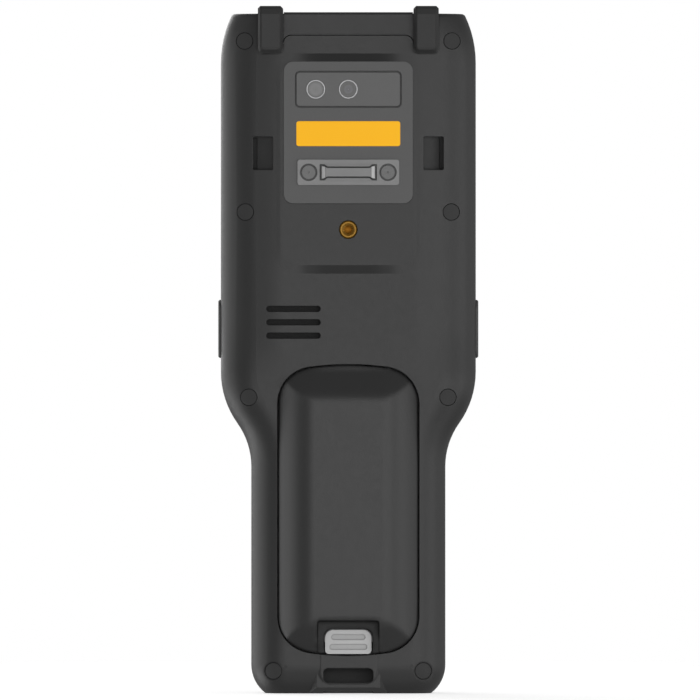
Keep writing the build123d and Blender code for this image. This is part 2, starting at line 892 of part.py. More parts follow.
def make_camera_window():
    with BuildPart() as camera_window:
        with BuildSketch(at_depth(window_seat_y)):
            with Locations((0, window_z)):
                RectangleRounded(window_width, window_height, window_corner)
            with Locations((camera_x, window_z), (flash_x, window_z)):
                Circle(lens_diameter / 2 + fit_gap, mode=Mode.SUBTRACT)
        extrude(amount=window_thickness)
    camera_window.part.label = "camera_window"
    return camera_window.part


def make_lens_rings():
    with BuildPart() as lens_rings:
        with BuildSketch(at_depth(window_seat_y)):
            with Locations((camera_x, window_z), (flash_x, window_z)):
                Circle(lens_diameter / 2)
                Circle(lens_diameter / 2 - lens_wall, mode=Mode.SUBTRACT)
        extrude(amount=window_thickness + ring_stand)
    lens_rings.part.label = "lens_rings"
    return lens_rings.part


def make_lens(name, x):
    with BuildPart() as lens:
        with BuildSketch(at_depth(window_seat_y)):
            with Locations((x, window_z)):
                Circle(lens_diameter / 2 - lens_wall - fit_gap)
        extrude(amount=lens_thickness)
    lens.part.label = name
    return lens.part


def make_camera_module():
    # Camera and flash on one carrier, their barrels reaching up to the plate.
    width = abs(camera_x - flash_x) + 2 * lens_diameter
    top = bezel_bottom - engine_height - part_gap
    with BuildPart() as camera_module:
        with BuildSketch(at_depth(inner_back + engine_depth / 3)):
            with Locations(((camera_x + flash_x) / 2, top)):
                Rectangle(width, 2 * (top - window_z), align=(Align.CENTER, Align.MAX))
        extrude(amount=engine_depth / 3 - fit_gap)
        with BuildSketch(at_depth(inner_back)):
            with Locations((camera_x, window_z), (flash_x, window_z)):
                Circle(lens_aperture / 2)
        extrude(amount=inner_back - plate_seat_y - fit_gap)
    camera_module.part.label = "camera_module"
    return camera_module.part


def make_label():
    with BuildPart() as label:
        with BuildSketch(at_depth(plate_y)):
            with Locations((0, label_z)):
                RectangleRounded(label_width, label_height, label_corner)
        extrude(amount=label_thickness)
    label.part.label = "blank_label"
    return label.part


def make_strap_bracket():
    # Steel plate with a window, and in it a bridge of bent strip that flares towards both ends.
    face_y = plate_y - bracket_thickness
    high_y = face_y - bridge_rise
    half_mid = bridge_half_span - bridge_slope_run
    with BuildPart() as bridge:
        with BuildSketch(Plane.XY.offset(bracket_z)):
            with BuildLine():
                Polyline(
                    (-bridge_half_span, plate_y),
                    (-bridge_half_span, face_y),
                    (-half_mid, high_y),
                    (half_mid, high_y),
                    (bridge_half_span, face_y),
                    (bridge_half_span, plate_y),
                    (bridge_half_span - bracket_thickness, plate_y),
                    (half_mid - bracket_thickness / 2, high_y + bracket_thickness),
                    (bracket_thickness / 2 - half_mid, high_y + bracket_thickness),
                    (bracket_thickness - bridge_half_span, plate_y),
                    close=True,
                )
            make_face()
        extrude(amount=bridge_foot_height, both=True)
        with BuildSketch(at_depth(plate_y)) as strip:
            with Locations((0, bracket_z)):
                Rectangle(2 * bridge_half_span, bridge_height)
                for side in (-1, 1):
                    with BuildLine():
                        Polyline(
                            (side * bridge_half_span, bracket_z - bridge_foot_height / 2),
                            (side * bridge_half_span, bracket_z + bridge_foot_height / 2),
                            (side * (half_mid - bracket_thickness), bracket_z + bridge_height / 2),
                            (side * (half_mid - bracket_thickness), bracket_z - bridge_height / 2),
                            close=True,
                        )
                    make_face()
        extrude(amount=bracket_height, mode=Mode.INTERSECT)
    with BuildPart() as strap_bracket:
        with BuildSketch(at_depth(plate_y)):
            with Locations((0, bracket_z)):
                RectangleRounded(bracket_width, bracket_height, bracket_corner)
                Rectangle(
                    2 * bridge_half_span + 2 * bridge_end_gap,
                    bridge_foot_height + 2 * bridge_side_gap,
                    mode=Mode.SUBTRACT,
                )
            with Locations((-bracket_screw_x, bracket_z), (bracket_screw_x, bracket_z)):
                Circle(bracket_screw_head / 2 + bracket_screw_groove, mode=Mode.SUBTRACT)
        extrude(amount=bracket_thickness)
        add(bridge.part)
    strap_bracket.part.label = "strap_bracket"
    return strap_bracket.part


def make_bracket_screws():
    # Flat heads that lie level with the bracket in wider holes, each with a small centre mark.
    face_y = plate_y - bracket_thickness
    places = Locations((-bracket_screw_x, bracket_z), (bracket_screw_x, bracket_z))
    with BuildPart() as bracket_screws:
        with BuildSketch(at_depth(plate_y)):
            with places:
                Circle(bracket_screw_head / 2)
        extrude(amount=bracket_thickness)
        with BuildSketch(at_depth(plate_y + bracket_screw_length)):
            with places:
                RegularPolygon(bracket_screw_shank / 2, screw_sides)
        extrude(amount=bracket_screw_length)
        with BuildSketch(at_depth(face_y + bracket_thickness / 2)):
            with places:
                RegularPolygon(bracket_screw_dot / 2, screw_sides)
        extrude(amount=bracket_thickness, mode=Mode.SUBTRACT)
    bracket_screws.part.label = "bracket_screws"
    return bracket_screws.part


def make_grip_insert():
    with BuildPart() as grip_insert:
        with BuildSketch(at_depth(plateau_y + insert_sink + insert_length)):
            with Locations((0, insert_z)):
                Circle(insert_diameter / 2)
                Circle(insert_bore / 2, mode=Mode.SUBTRACT)
        extrude(amount=insert_length)
        mouth = grip_insert.faces().sort_by(Axis.Y)[0].edges()
        chamfer(mouth, insert_sink)
    grip_insert.part.label = "grip_insert"
    return grip_insert.part


def make_screw_plugs():
    # Rubber plugs whose outer ends follow the rounded back.
    with BuildPart() as screw_plugs:
        with BuildSketch(at_depth(plug_seat_y)):
            with Locations(*mirrored_places(screw_places)):
                Circle(plug_diameter / 2)
        extrude(amount=through)
        add(rear_form(), mode=Mode.INTERSECT)
    screw_plugs.part.label = "screw_plugs"
    return screw_plugs.part


def make_housing_screws():
    with BuildPart() as housing_screws:
        with BuildSketch(at_depth(screw_seat_y)):
            with Locations(*mirrored_places(screw_places)):
                RegularPolygon(screw_head / 2, screw_sides)
        extrude(amount=screw_head_height - fit_gap)
        with BuildSketch(at_depth(screw_end_y)):
            with Locations(*mirrored_places(screw_places)):
                RegularPolygon(screw_shank / 2, screw_sides)
        extrude(amount=screw_end_y - screw_seat_y)
    housing_screws.part.label = "housing_screws"
    return housing_screws.part


def make_speaker_mesh():
    height = speaker_slots * speaker_slot_spacing
    with BuildPart() as speaker_mesh:
        with BuildSketch(at_depth(inner_back + mesh_thickness)):
            with Locations((speaker_x, speaker_z)):
                Rectangle(speaker_slot_length + 2 * wall, height + wall)
        extrude(amount=mesh_thickness)
    speaker_mesh.part.label = "speaker_mesh"
    return speaker_mesh.part


def make_speaker():
    height = speaker_slots * speaker_slot_spacing
    with BuildPart() as speaker:
        with BuildSketch(at_depth(inner_back + mesh_thickness + speaker_depth)):
            with Locations((speaker_x, speaker_z)):
                RectangleRounded(speaker_slot_length + wall, height + wall, wall)
        extrude(amount=speaker_depth - fit_gap)
    speaker.part.label = "speaker"
    return speaker.part


def make_battery_contacts():
    # Row of gold blades in one carrier that fills the opening in the bay floor.
    width = contact_count * contact_spacing
    with BuildPart() as battery_contacts:
        with BuildSketch(at_depth(bay_floor_y + 2 * bay_wall)):
            with Locations((0, contact_z)):
                Rectangle(width, contact_length)
        extrude(amount=2 * bay_wall)
        with BuildSketch(at_depth(bay_floor_y)):
            with Locations((0, contact_z)):
                with GridLocations(contact_spacing, 1, contact_count, 1):
                    Rectangle(contact_width, contact_length - contact_width)
        extrude(amount=contact_stand)
    battery_contacts.part.label = "battery_contacts"
    return battery_contacts.part


def make_display_glass():
    with BuildPart() as display_glass:
        with BuildSketch(at_depth(housing_front - glass_sink)):
            with Locations((0, (glass_bottom + glass_top) / 2)):
                RectangleRounded(glass_width, glass_top - glass_bottom, glass_corner)
        extrude(amount=glass_thickness)
    display_glass.part.label = "display_glass"
    return display_glass.part


def make_display_panel():
    with BuildPart() as display_panel:
        with BuildSketch(at_depth(glass_back)):
            with Locations((0, (glass_bottom + glass_top) / 2)):
                Rectangle(
                    glass_width - 2 * glass_ledge - 2 * part_gap,
                    glass_top - glass_bottom - 2 * glass_ledge - 2 * part_gap,
                )
        extrude(amount=panel_thickness)
    display_panel.part.label = "display_panel"
    return display_panel.part


def make_inner_frame():
    # Stiff plate between the halves: a rim for the display in front, posts for the board behind.
    middle = (glass_bottom + glass_top) / 2
    panel_width = glass_width - 2 * glass_ledge
    panel_height = glass_top - glass_bottom - 2 * glass_ledge
    posts = mirrored_places(
        [
            (board_half_width - board_post, board_bottom + board_post),
            (board_half_width - board_post, board_top - board_post),
        ]
    )
    with BuildPart() as inner_frame:
        with BuildSketch(at_depth(frame_front)):
            add(end_cut_outline(wall + frame_gap, wall + frame_gap))
            with Locations(*mirrored_places(screw_places)):
                RegularPolygon(screw_shank / 2 + part_gap, screw_sides, mode=Mode.SUBTRACT)
            Rectangle(3 * head_half_width, 2 * frame_bottom, mode=Mode.SUBTRACT)
            with Locations((0, keypad_bottom)):
                Rectangle(
                    usb_width + 2 * wall, keypad_bottom, align=(Align.CENTER, Align.MAX), mode=Mode.SUBTRACT
                )
        extrude(amount=frame_thickness)
        with BuildSketch(at_depth(panel_back)):
            with Locations((0, middle)):
                Rectangle(panel_width, panel_height)
                Rectangle(panel_width - 2 * board_post, panel_height - 2 * board_post, mode=Mode.SUBTRACT)
        extrude(amount=panel_back - frame_front)
        with BuildSketch(at_depth(frame_y)):
            with Locations(*posts):
                RegularPolygon(board_post / 2, screw_sides)
        extrude(amount=board_stand)
    inner_frame.part.label = "inner_frame"
    return inner_frame.part


def make_main_board():
    with BuildPart() as main_board:
        with BuildSketch(at_depth(board_front)):
            with Locations((0, board_bottom)):
                Rectangle(
                    2 * board_half_width, board_top - board_bottom, align=(Align.CENTER, Align.MIN)
                )
        extrude(amount=board_thickness)
    main_board.part.label = "main_board"
    return main_board.part


def make_keypad_board():
    with BuildPart() as keypad_board:
        with BuildSketch(at_depth(frame_front)):
            with Locations((0, keypad_bottom)):
                Rectangle(
                    2 * keypad_half_width, keypad_top - keypad_bottom, align=(Align.CENTER, Align.MIN)
                )
        extrude(amount=-keypad_board_thickness)
    keypad_board.part.label = "keypad_board"
    return keypad_board.part


def make_keypad_mat():
    with BuildPart() as keypad_mat:
        with BuildSketch(at_depth(mat_front)):
            with Locations((0, keypad_bottom)):
                Rectangle(
                    2 * keypad_half_width, keypad_top - keypad_bottom, align=(Align.CENTER, Align.MIN)
                )
        extrude(amount=mat_front - frame_front - keypad_board_thickness)
    keypad_mat.part.label = "keypad_mat"
    return keypad_mat.part


def make_side_switches():
    # One switch behind each side key, standing on the inner frame.
    outer = head_half_width - wall - part_gap - side_key_flange_thickness - side_key_travel - part_gap
    with BuildPart() as side_switches:
        with BuildSketch(at_depth(frame_y)):
            with Locations(*mirrored_places([(outer - side_switch_depth / 2, side_key_z)])):
                Rectangle(side_switch_depth, side_switch_length)
        extrude(amount=frame_y - side_key_y + side_key_width / 4)
    side_switches.part.label = "side_switches"
    return side_switches.part


def make_earpiece_mesh():
    with BuildPart() as earpiece_mesh:
        with BuildSketch(at_depth(inner_front)):
            with Locations((0, ear_slot_z)):
                Rectangle(ear_slot_length + 2 * wall, ear_slot_height + wall)
        extrude(amount=mesh_thickness)
    earpiece_mesh.part.label = "earpiece_mesh"
    return earpiece_mesh.part


def make_usb_socket():
    with BuildPart() as usb_socket:
        with BuildSketch(Plane.XY.offset(part_gap)):
            with Locations((0, usb_y)):
                SlotOverall(usb_width, usb_height)
        extrude(amount=usb_length)
        with BuildSketch(Plane.XY.offset(part_gap)):
            with Locations((0, usb_y)):
                SlotOverall(usb_width - 2 * usb_wall, usb_height - 2 * usb_wall)
        extrude(amount=usb_length - usb_wall, mode=Mode.SUBTRACT)
        with BuildSketch(Plane.XY.offset(2 * part_gap)):
            with Locations((0, usb_y)):
                Rectangle(usb_tongue_width, usb_tongue_thickness)
        extrude(amount=usb_length - 2 * part_gap)
    usb_socket.part.label = "usb_socket"
    return usb_socket.part


def pack_form():
    # Pack above its base: round along both sides, with a lip and a slope at both ends.
    slope_end = end_lip_width + end_slope_run
    lip_y = housing_back - end_lip_rise
    round_x = pack_half_width - side_round_width
    edge_y = housing_back + side_edge_drop
    with BuildPart() as form:
        with BuildSketch(at_depth(base_seat_y)):
            add(pack_outline(0))
        extrude(amount=base_seat_y - bulge_y)
        with BuildSketch(Plane.XY.offset(pack_bottom)):
            with BuildLine():
                Line((pack_half_width, base_seat_y), (pack_half_width, edge_y))
                TangentArc((round_x, bulge_y), (pack_half_width, edge_y), tangent=(1, 0))
                Line((round_x, bulge_y), (0, bulge_y))
                Line((0, base_seat_y), (pack_half_width, base_seat_y))
                mirror(about=Plane.YZ)
            make_face()
        extrude(amount=pack_top - pack_bottom, mode=Mode.INTERSECT)
        with BuildSketch(Plane.YZ) as side_view:
            with BuildLine():
                Polyline(
                    (base_seat_y, pack_bottom),
                    (lip_y, pack_bottom),
                    (lip_y, pack_bottom + end_lip_width),
                    (bulge_y, pack_bottom + slope_end),
                    (bulge_y, pack_top - slope_end),
                    (lip_y, pack_top - end_lip_width),
                    (lip_y, pack_top),
                    (base_seat_y, pack_top),
                    close=True,
                )
            make_face()
            fillet(side_view.vertices().group_by(Axis.X)[0], end_softening)
        extrude(amount=pack_half_width, both=True, mode=Mode.INTERSECT)
    return form.part


def pad_outline(gap):
    # Latch pad grown by gap: wide radii at the top, small ones at the bottom.
    with BuildSketch() as outline:
        with Locations((0, latch_bottom - gap)):
            Rectangle(pad_width + 2 * gap, pad_height + 2 * gap, align=(Align.CENTER, Align.MIN))
        fillet(outline.vertices().group_by(Axis.Y)[-1], pad_top_radius + gap)
        fillet(outline.vertices().group_by(Axis.Y)[0], pad_bottom_radius)
    return outline.sketch


def deck_outline(inset):
    # Deck round the latch moved inwards by inset. It runs out over the pack's bottom end.
    with BuildSketch() as outline:
        with Locations((0, deck_top - inset)):
            Rectangle(2 * deck_half_width - 2 * inset, deck_top, align=(Align.CENTER, Align.MAX))
        fillet(outline.vertices().group_by(Axis.Y)[-1], deck_corner - inset)
    return outline.sketch


def make_battery_case():
    groove_y = pack_deck_y + deck_groove_depth
    pocket_front = latch_face_y + latch_thickness + slide_gap
    pocket_half = pad_width / 2 + latch_skirt + slide_gap
    latch_top = latch_bottom + pad_height + latch_tail
    spring_top = latch_top + spring_length
    with BuildPart() as battery_case:
        add(pack_form())
        # Recess in the bulge, and in it the flat deck with a fine groove round it.
        with BuildSketch(at_depth(groove_y)):
            add(deck_outline(0))
        extrude(amount=through, mode=Mode.SUBTRACT)
        with BuildSketch(at_depth(groove_y)):
            add(pack_outline(0))
            add(deck_outline(deck_groove), mode=Mode.INTERSECT)
        extrude(amount=deck_groove_depth)
        # Opening for the pad, the room in which the latch slides, and the spring's seat.
        with BuildSketch(at_depth(latch_face_y)):
            add(pad_outline(pad_groove))
            with Locations((0, latch_bottom + pad_height / 2)):
                Rectangle(pad_width + 2 * pad_groove, pad_height, align=(Align.CENTER, Align.MAX))
        extrude(amount=through, mode=Mode.SUBTRACT)
        add(
            box_between(
                (-pocket_half, pocket_half),
                (latch_face_y - slide_gap, pocket_front),
                (0, latch_top + latch_travel + slide_gap),
            ),
            mode=Mode.SUBTRACT,
        )
        add(
            box_between(
                (-spring_half_width - slide_gap, spring_half_width + slide_gap),
                (latch_face_y - slide_gap, pocket_front),
                (latch_top, spring_top),
            ),
            mode=Mode.SUBTRACT,
        )
        # Room for the cells, open to the base.
        add(
            box_between(
                (-cell_room_half_width, cell_room_half_width),
                (base_seat_y - cell_room_depth, base_seat_y),
                (cell_room_bottom, cell_room_top),
            ),
            mode=Mode.SUBTRACT,
        )
        # Two tongues that tuck under the lip of the bay.
        for side in (-1, 1):
            front = base_seat_y - tongue_inset_y
            add(
                box_between(
                    (side * tongue_x - tongue_width / 2, side * tongue_x + tongue_width / 2),
                    (front - tongue_thickness, front),
                    (cell_room_top + pack_wall, pack_top + tongue_reach),
                )
            )
    battery_case.part.label = "battery_case"
    return battery_case.part


def make_battery_base():
    with BuildPart() as battery_base:
        with BuildSketch(at_depth(pack_inner_y)):
            add(pack_outline(0))
        extrude(amount=base_thickness)
        chamfer(battery_base.faces().sort_by(Axis.Y)[-1].edges(), base_edge)
    battery_base.part.label = "battery_base"
    return battery_base.part


def make_battery_cells():
    length = cell_room_top - cell_room_bottom - 2 * cell_gap
    width = cell_room_half_width - 2 * cell_gap
    with BuildPart() as battery_cells:
        with BuildSketch(at_depth(base_seat_y - fit_gap)):
            with Locations((0, (cell_room_bottom + cell_room_top) / 2)):
                with GridLocations(cell_room_half_width, 1, 2, 1):
                    RectangleRounded(width, length, pack_wall)
        extrude(amount=cell_room_depth - cell_gap)
    battery_cells.part.label = "battery_cells"
    return battery_cells.part


def make_latch_spring():
    # Flat serpentine spring between the latch and the end of its seat.
    low = latch_bottom + pad_height + latch_tail + fit_gap + spring_wire / 2
    step = (spring_length - 2 * fit_gap - spring_wire) / spring_folds
    half = spring_half_width - spring_wire / 2
    points = []
    for fold in range(spring_folds + 1):
        near = half * (-1) ** fold
        points += [(near, low + fold * step), (-near, low + fold * step)]
    with BuildPart() as latch_spring:
        with BuildSketch(at_depth(latch_face_y + latch_thickness)):
            with BuildLine():
                Polyline(*points)
            trace(line_width=spring_wire)
        extrude(amount=latch_thickness / 2)
    latch_spring.part.label = "latch_spring"
    return latch_spring.part


def make_battery_latch():
    # Slide with a raised pad, two finger grooves and a wider tail that stays under the deck.
    with BuildPart() as battery_latch:
        with BuildSketch(at_depth(latch_face_y + latch_thickness)):
            add(pad_outline(0))
            with Locations((0, latch_bottom + pad_height + latch_tail)):
                Rectangle(
                    pad_width + 2 * latch_skirt,
                    latch_tail + pad_height / 2,
                    align=(Align.CENTER, Align.MAX),
                )
        extrude(amount=latch_thickness - pad_thickness)
        with BuildSketch(at_depth(latch_face_y + pad_thickness)):
            add(pad_outline(0))
        extrude(amount=pad_thickness)
        with BuildSketch(at_depth(latch_face_y + grip_groove_depth)):
            with Locations((0, latch_bottom + pad_height / 2 - grip_groove_spacing / 2)):
                SlotOverall(grip_groove_low_width, grip_groove_height)
            with Locations((0, latch_bottom + pad_height / 2 + grip_groove_spacing / 2)):
                SlotOverall(grip_groove_high_width, grip_groove_height)
        extrude(amount=pad_thickness, mode=Mode.SUBTRACT)
    battery_latch.part.label = "battery_latch"
    return battery_latch.part


def make_side_key(name, side):
    # Slot-shaped key with a flange that holds it behind the side wall.
    inner = head_half_width - wall - part_gap
    with BuildPart() as key:
        with BuildSketch(Plane.YZ.offset(inner - side_key_flange_thickness)):
            with Locations((side_key_y, side_key_z)):
                SlotOverall(side_key_length, side_key_width, rotation=90)
        extrude(amount=head_half_width + side_key_stand - inner + side_key_flange_thickness)
        chamfer(key.faces().sort_by(Axis.X)[-1].edges(), side_key_stand / 2)
        with BuildSketch(Plane.YZ.offset(inner - side_key_flange_thickness)):
            with Locations((side_key_y, side_key_z)):
                Rectangle(side_key_width + 2 * side_key_flange, side_key_length + 2 * side_key_flange)
        extrude(amount=side_key_flange_thickness)
        if side < 0:
            mirror(about=Plane.YZ, mode=Mode.REPLACE)
    key.part.label = name
    return key.part


def make_key(name, x, z, width, height):
    # Key cap with a flange that holds it behind the front. The scan key stands a little higher.
    top = scan_key_top if name == "key_scan" else key_top
    with BuildPart() as key:
        with BuildSketch(at_depth(key_base)):
            with Locations((x, z)):
                add(key_outline(width, height, 0))
        extrude(amount=key_base - top)
        chamfer(key.faces().sort_by(Axis.Y)[-1].edges(), key_edge)
        with BuildSketch(at_depth(key_base)):
            with Locations((x, z)):
                Rectangle(width + 2 * key_flange, height + 2 * key_flange)
        extrude(amount=-key_flange_thickness)
    key.part.label = name
    return key.part


form = housing_form()
pieces = [
    make_rear_housing(),
    make_front_housing(),
    make_housing_seal(),
    make_bumper("bumper_left", -1, form),
    make_bumper("bumper_right", 1, form),
    make_scan_bezel(),
    make_scan_window(),
    make_scan_engine(),
    make_rear_plate(),
    make_camera_window(),
    make_lens_rings(),
    make_lens("camera_lens", camera_x),
    make_lens("flash_lens", flash_x),
    make_camera_module(),
    make_label(),
    make_strap_bracket(),
    make_bracket_screws(),
    make_grip_insert(),
    make_screw_plugs(),
    make_housing_screws(),
    make_speaker_mesh(),
    make_speaker(),
    make_battery_contacts(),
    make_display_glass(),
    make_display_panel(),
    make_inner_frame(),
    make_main_board(),
    make_keypad_board(),
    make_keypad_mat(),
    make_side_switches(),
    make_earpiece_mesh(),
    make_usb_socket(),
    make_battery_case(),
    make_battery_base(),
    make_battery_cells(),
    make_latch_spring(),
    make_battery_latch(),
    make_side_key("side_key_left", -1),
    make_side_key("side_key_right", 1),
]
pieces += [make_key(*place) for place in key_places()]

os.makedirs("parts", exist_ok=True)
for piece in pieces:
    export_step(piece, "parts/" + piece.label + ".step")
    print(piece.label, len(piece.solids()), round(piece.volume, 1))
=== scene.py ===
import math

import bmesh
import bpy
import numpy as np
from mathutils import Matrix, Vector


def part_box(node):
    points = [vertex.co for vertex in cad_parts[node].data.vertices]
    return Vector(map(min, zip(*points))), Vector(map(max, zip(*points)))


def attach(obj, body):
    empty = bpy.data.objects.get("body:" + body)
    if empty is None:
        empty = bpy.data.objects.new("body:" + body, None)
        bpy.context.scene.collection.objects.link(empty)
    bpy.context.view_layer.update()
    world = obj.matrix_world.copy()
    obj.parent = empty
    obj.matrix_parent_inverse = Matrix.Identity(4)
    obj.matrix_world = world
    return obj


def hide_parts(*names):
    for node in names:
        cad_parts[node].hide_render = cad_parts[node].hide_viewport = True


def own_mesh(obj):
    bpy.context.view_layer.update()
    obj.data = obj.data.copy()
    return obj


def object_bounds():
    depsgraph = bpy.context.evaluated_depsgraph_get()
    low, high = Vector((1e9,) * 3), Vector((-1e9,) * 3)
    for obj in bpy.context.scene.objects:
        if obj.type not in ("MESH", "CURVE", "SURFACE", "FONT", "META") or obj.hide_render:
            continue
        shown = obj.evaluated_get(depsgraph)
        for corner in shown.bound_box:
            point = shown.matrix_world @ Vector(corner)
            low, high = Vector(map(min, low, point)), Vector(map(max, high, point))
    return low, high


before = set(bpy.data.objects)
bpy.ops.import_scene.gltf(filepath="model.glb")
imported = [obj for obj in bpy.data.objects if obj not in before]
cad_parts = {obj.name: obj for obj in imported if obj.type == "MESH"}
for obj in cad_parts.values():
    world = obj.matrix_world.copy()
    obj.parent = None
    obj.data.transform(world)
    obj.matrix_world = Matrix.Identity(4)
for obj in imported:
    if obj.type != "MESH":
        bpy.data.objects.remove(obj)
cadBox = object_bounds()
print("frame loaded:", len(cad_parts), "nodes")

mm = 0.001


def addNode(tree, kind, settings=None, values=None):
    # Any node: its type, its settings, then the values or links of its sockets
    made = tree.nodes.new(kind)
    for key, value in (settings or {}).items():
        if key == "stops":
            ramp = made.color_ramp
            while len(ramp.elements) < len(value):
                ramp.elements.new(0.5)
            for element, (position, colour) in zip(ramp.elements, value):
                element.position = position
                element.color = (*colour, 1)
        else:
            setattr(made, key, value)
    for key, value in (values or {}).items():
        socket = made.inputs[key]
        if isinstance(value, Number):
            value = value.socket
        if isinstance(value, bpy.types.NodeSocket):
            tree.links.new(value, socket)
        elif socket.type == "RGBA":
            socket.default_value = (*value, 1)
        else:
            socket.default_value = value
    return made


# Materials are written with two small classes, one for numbers and one for finishes.
class Number:
    # A number that varies over a surface. Sums written with it add Math nodes.
    def __init__(self, finish, socket):
        self.finish = finish
        self.socket = socket

    def maths(self, operation, *others):
        values = dict(enumerate((self, *others)))
        return self.finish.number("ShaderNodeMath", {"operation": operation}, values)

    def turned(self, operation, other):
        # The same sum with the plain number first, as in 1 - mask
        return self.finish.number("ShaderNodeMath", {"operation": operation}, {0: other, 1: self})

    def __add__(self, other):
        return self.maths("ADD", other)

    def __sub__(self, other):
        return self.maths("SUBTRACT", other)

    def __mul__(self, other):
        return self.maths("MULTIPLY", other)

    def __truediv__(self, other):
        return self.maths("DIVIDE", other)

    def __pow__(self, other):
        return self.maths("POWER", other)

    def __radd__(self, other):
        return self.turned("ADD", other)

    def __rsub__(self, other):
        return self.turned("SUBTRACT", other)

    def __rmul__(self, other):
        return self.turned("MULTIPLY", other)

    def __rtruediv__(self, other):
        return self.turned("DIVIDE", other)

    def __rpow__(self, other):
        return self.turned("POWER", other)

    def __abs__(self):
        return self.maths("ABSOLUTE")

    def larger(self, other):
        return self.maths("MAXIMUM", other)

    def smaller(self, other):
        return self.maths("MINIMUM", other)

    def over(self, low, high):
        # 0 below low, 1 above high, smooth between
        return self.finish.number(
            "ShaderNodeMapRange",
            {"interpolation_type": "SMOOTHSTEP"},
            {"Value": self, "From Min": low, "From Max": high},
        )

    def under(self, low, high):
        # 1 below low, 0 above high, smooth between
        return 1 - self.over(low, high)


class Finish:
    # The nodes of one material
    def __init__(self, name):
        self.material = bpy.data.materials.new(name)
        self.material.use_nodes = True
        self.tree = self.material.node_tree
        self.tree.nodes.clear()
        self.place = self.node("ShaderNodeTexCoord").outputs["Object"]

    def node(self, kind, settings=None, values=None):
        return addNode(self.tree, kind, settings, values)

    def number(self, kind, settings=None, values=None):
        return Number(self, self.node(kind, settings, values).outputs[0])

    def vector(self, operation, values):
        return self.node("ShaderNodeVectorMath", {"operation": operation}, values).outputs[0]

    def noise(self, scale, detail=2.0, place=None):
        values = {"Vector": place or self.place, "Scale": scale, "Detail": detail}
        return self.number("ShaderNodeTexNoise", {}, values)

    def axes(self, origin=(0, 0, 0)):
        # Distances along X, Y and Z from a point on the object
        moved = self.vector("SUBTRACT", {0: self.place, 1: origin})
        parts = self.node("ShaderNodeSeparateXYZ", {}, {0: moved})
        return [Number(self, socket) for socket in parts.outputs]

    def fromPoint(self, centre):
        # Distance from a point in the X Z plane: sqrt(x^2 + z^2)
        x, _, z = self.axes(centre)
        return (x ** 2 + z ** 2) ** 0.5

    def fromSides(self, centre, halfWide, halfHigh):
        # How far past the nearest side of a box in the X Z plane, below 0 inside it
        x, _, z = self.axes(centre)
        return (abs(x) - halfWide).larger(abs(z) - halfHigh)

    def fromBox(self, centre, wide, high, corner):
        # Distance to the edge of a rounded box in the X Z plane, below 0 inside it
        x, _, z = self.axes(centre)
        return rounded(abs(x) - (wide / 2 - corner), abs(z) - (high / 2 - corner), corner)

    def calmed(self, normal, share):
        # The normal drawn towards straight back by a share of 0 to 1
        first = self.vector("SCALE", {0: normal, "Scale": 1 - share})
        back = self.vector("SCALE", {0: (0, -1, 0), "Scale": share})
        return self.vector("NORMALIZE", {0: self.vector("ADD", {0: first, 1: back})})

    def mix(self, factor, first, second, blend="MIX"):
        settings = {"data_type": "RGBA", "blend_type": blend}
        return self.node("ShaderNodeMix", settings, {0: factor, 6: first, 7: second}).outputs[2]

    def toned(self, colour, tone):
        # The colour made lighter or darker by a number round 1
        plain = self.node("ShaderNodeCombineColor", {}, {0: tone, 1: tone, 2: tone}).outputs[0]
        return self.mix(1.0, colour, plain, "MULTIPLY")

    def bump(self, height, depth, strength=1.0, normal=None):
        values = {"Height": height, "Distance": depth, "Strength": strength}
        if normal is not None:
            values["Normal"] = normal
        return self.node("ShaderNodeBump", {}, values).outputs[0]

    def softEdges(self, radius, samples=4):
        return self.node("ShaderNodeBevel", {"samples": samples}, {"Radius": radius}).outputs[0]

    def shown(self, shader):
        self.node("ShaderNodeOutputMaterial", {}, {"Surface": shader.outputs[0]})
        return self.material

    def surface(self, values):
        return self.shown(self.node("ShaderNodeBsdfPrincipled", {}, values))


def rounded(across, along, corner):
    # Distance to a rounded corner, from how far past its centre a place lies along both sides
    outside = (across.larger(0.0) ** 2 + along.larger(0.0) ** 2) ** 0.5
    return outside + across.larger(along).smaller(0.0) - corner


def grey(level):
    # sRGB level 0 to 255 as a linear grey
    share = level / 255
    linear = share / 12.92 if share < 0.04045 else ((share + 0.055) / 1.055) ** 2.4
    return (linear, linear, linear)


def boxOf(node):
    # Lowest corner, highest corner and middle of a node
    low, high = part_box(node)
    return low, high, (low + high) / 2


# Camera square on to the back
cameraSettings = {
    "lens": 1000.0, "sensor": 36.0, "frameWidth": 0.20645, "aim": (0.00050, 0.0, 0.10146),
    "clipStart": 0.1, "clipEnd": 3,  # the second in distances from the object
}


def makeCamera(settings):
    data = bpy.data.cameras.new("camera")
    data.lens = settings["lens"]
    data.sensor_width = settings["sensor"]
    distance = settings["frameWidth"] * settings["lens"] / settings["sensor"]
    data.clip_start = settings["clipStart"]
    data.clip_end = settings["clipEnd"] * distance
    camera = bpy.data.objects.new("camera", data)
    aim = Vector(settings["aim"])
    camera.location = aim + Vector((0, cadBox[0][1] - distance, 0))
    camera.rotation_euler = (math.pi / 2, 0, 0)
    bpy.context.collection.objects.link(camera)
    bpy.context.scene.camera = camera


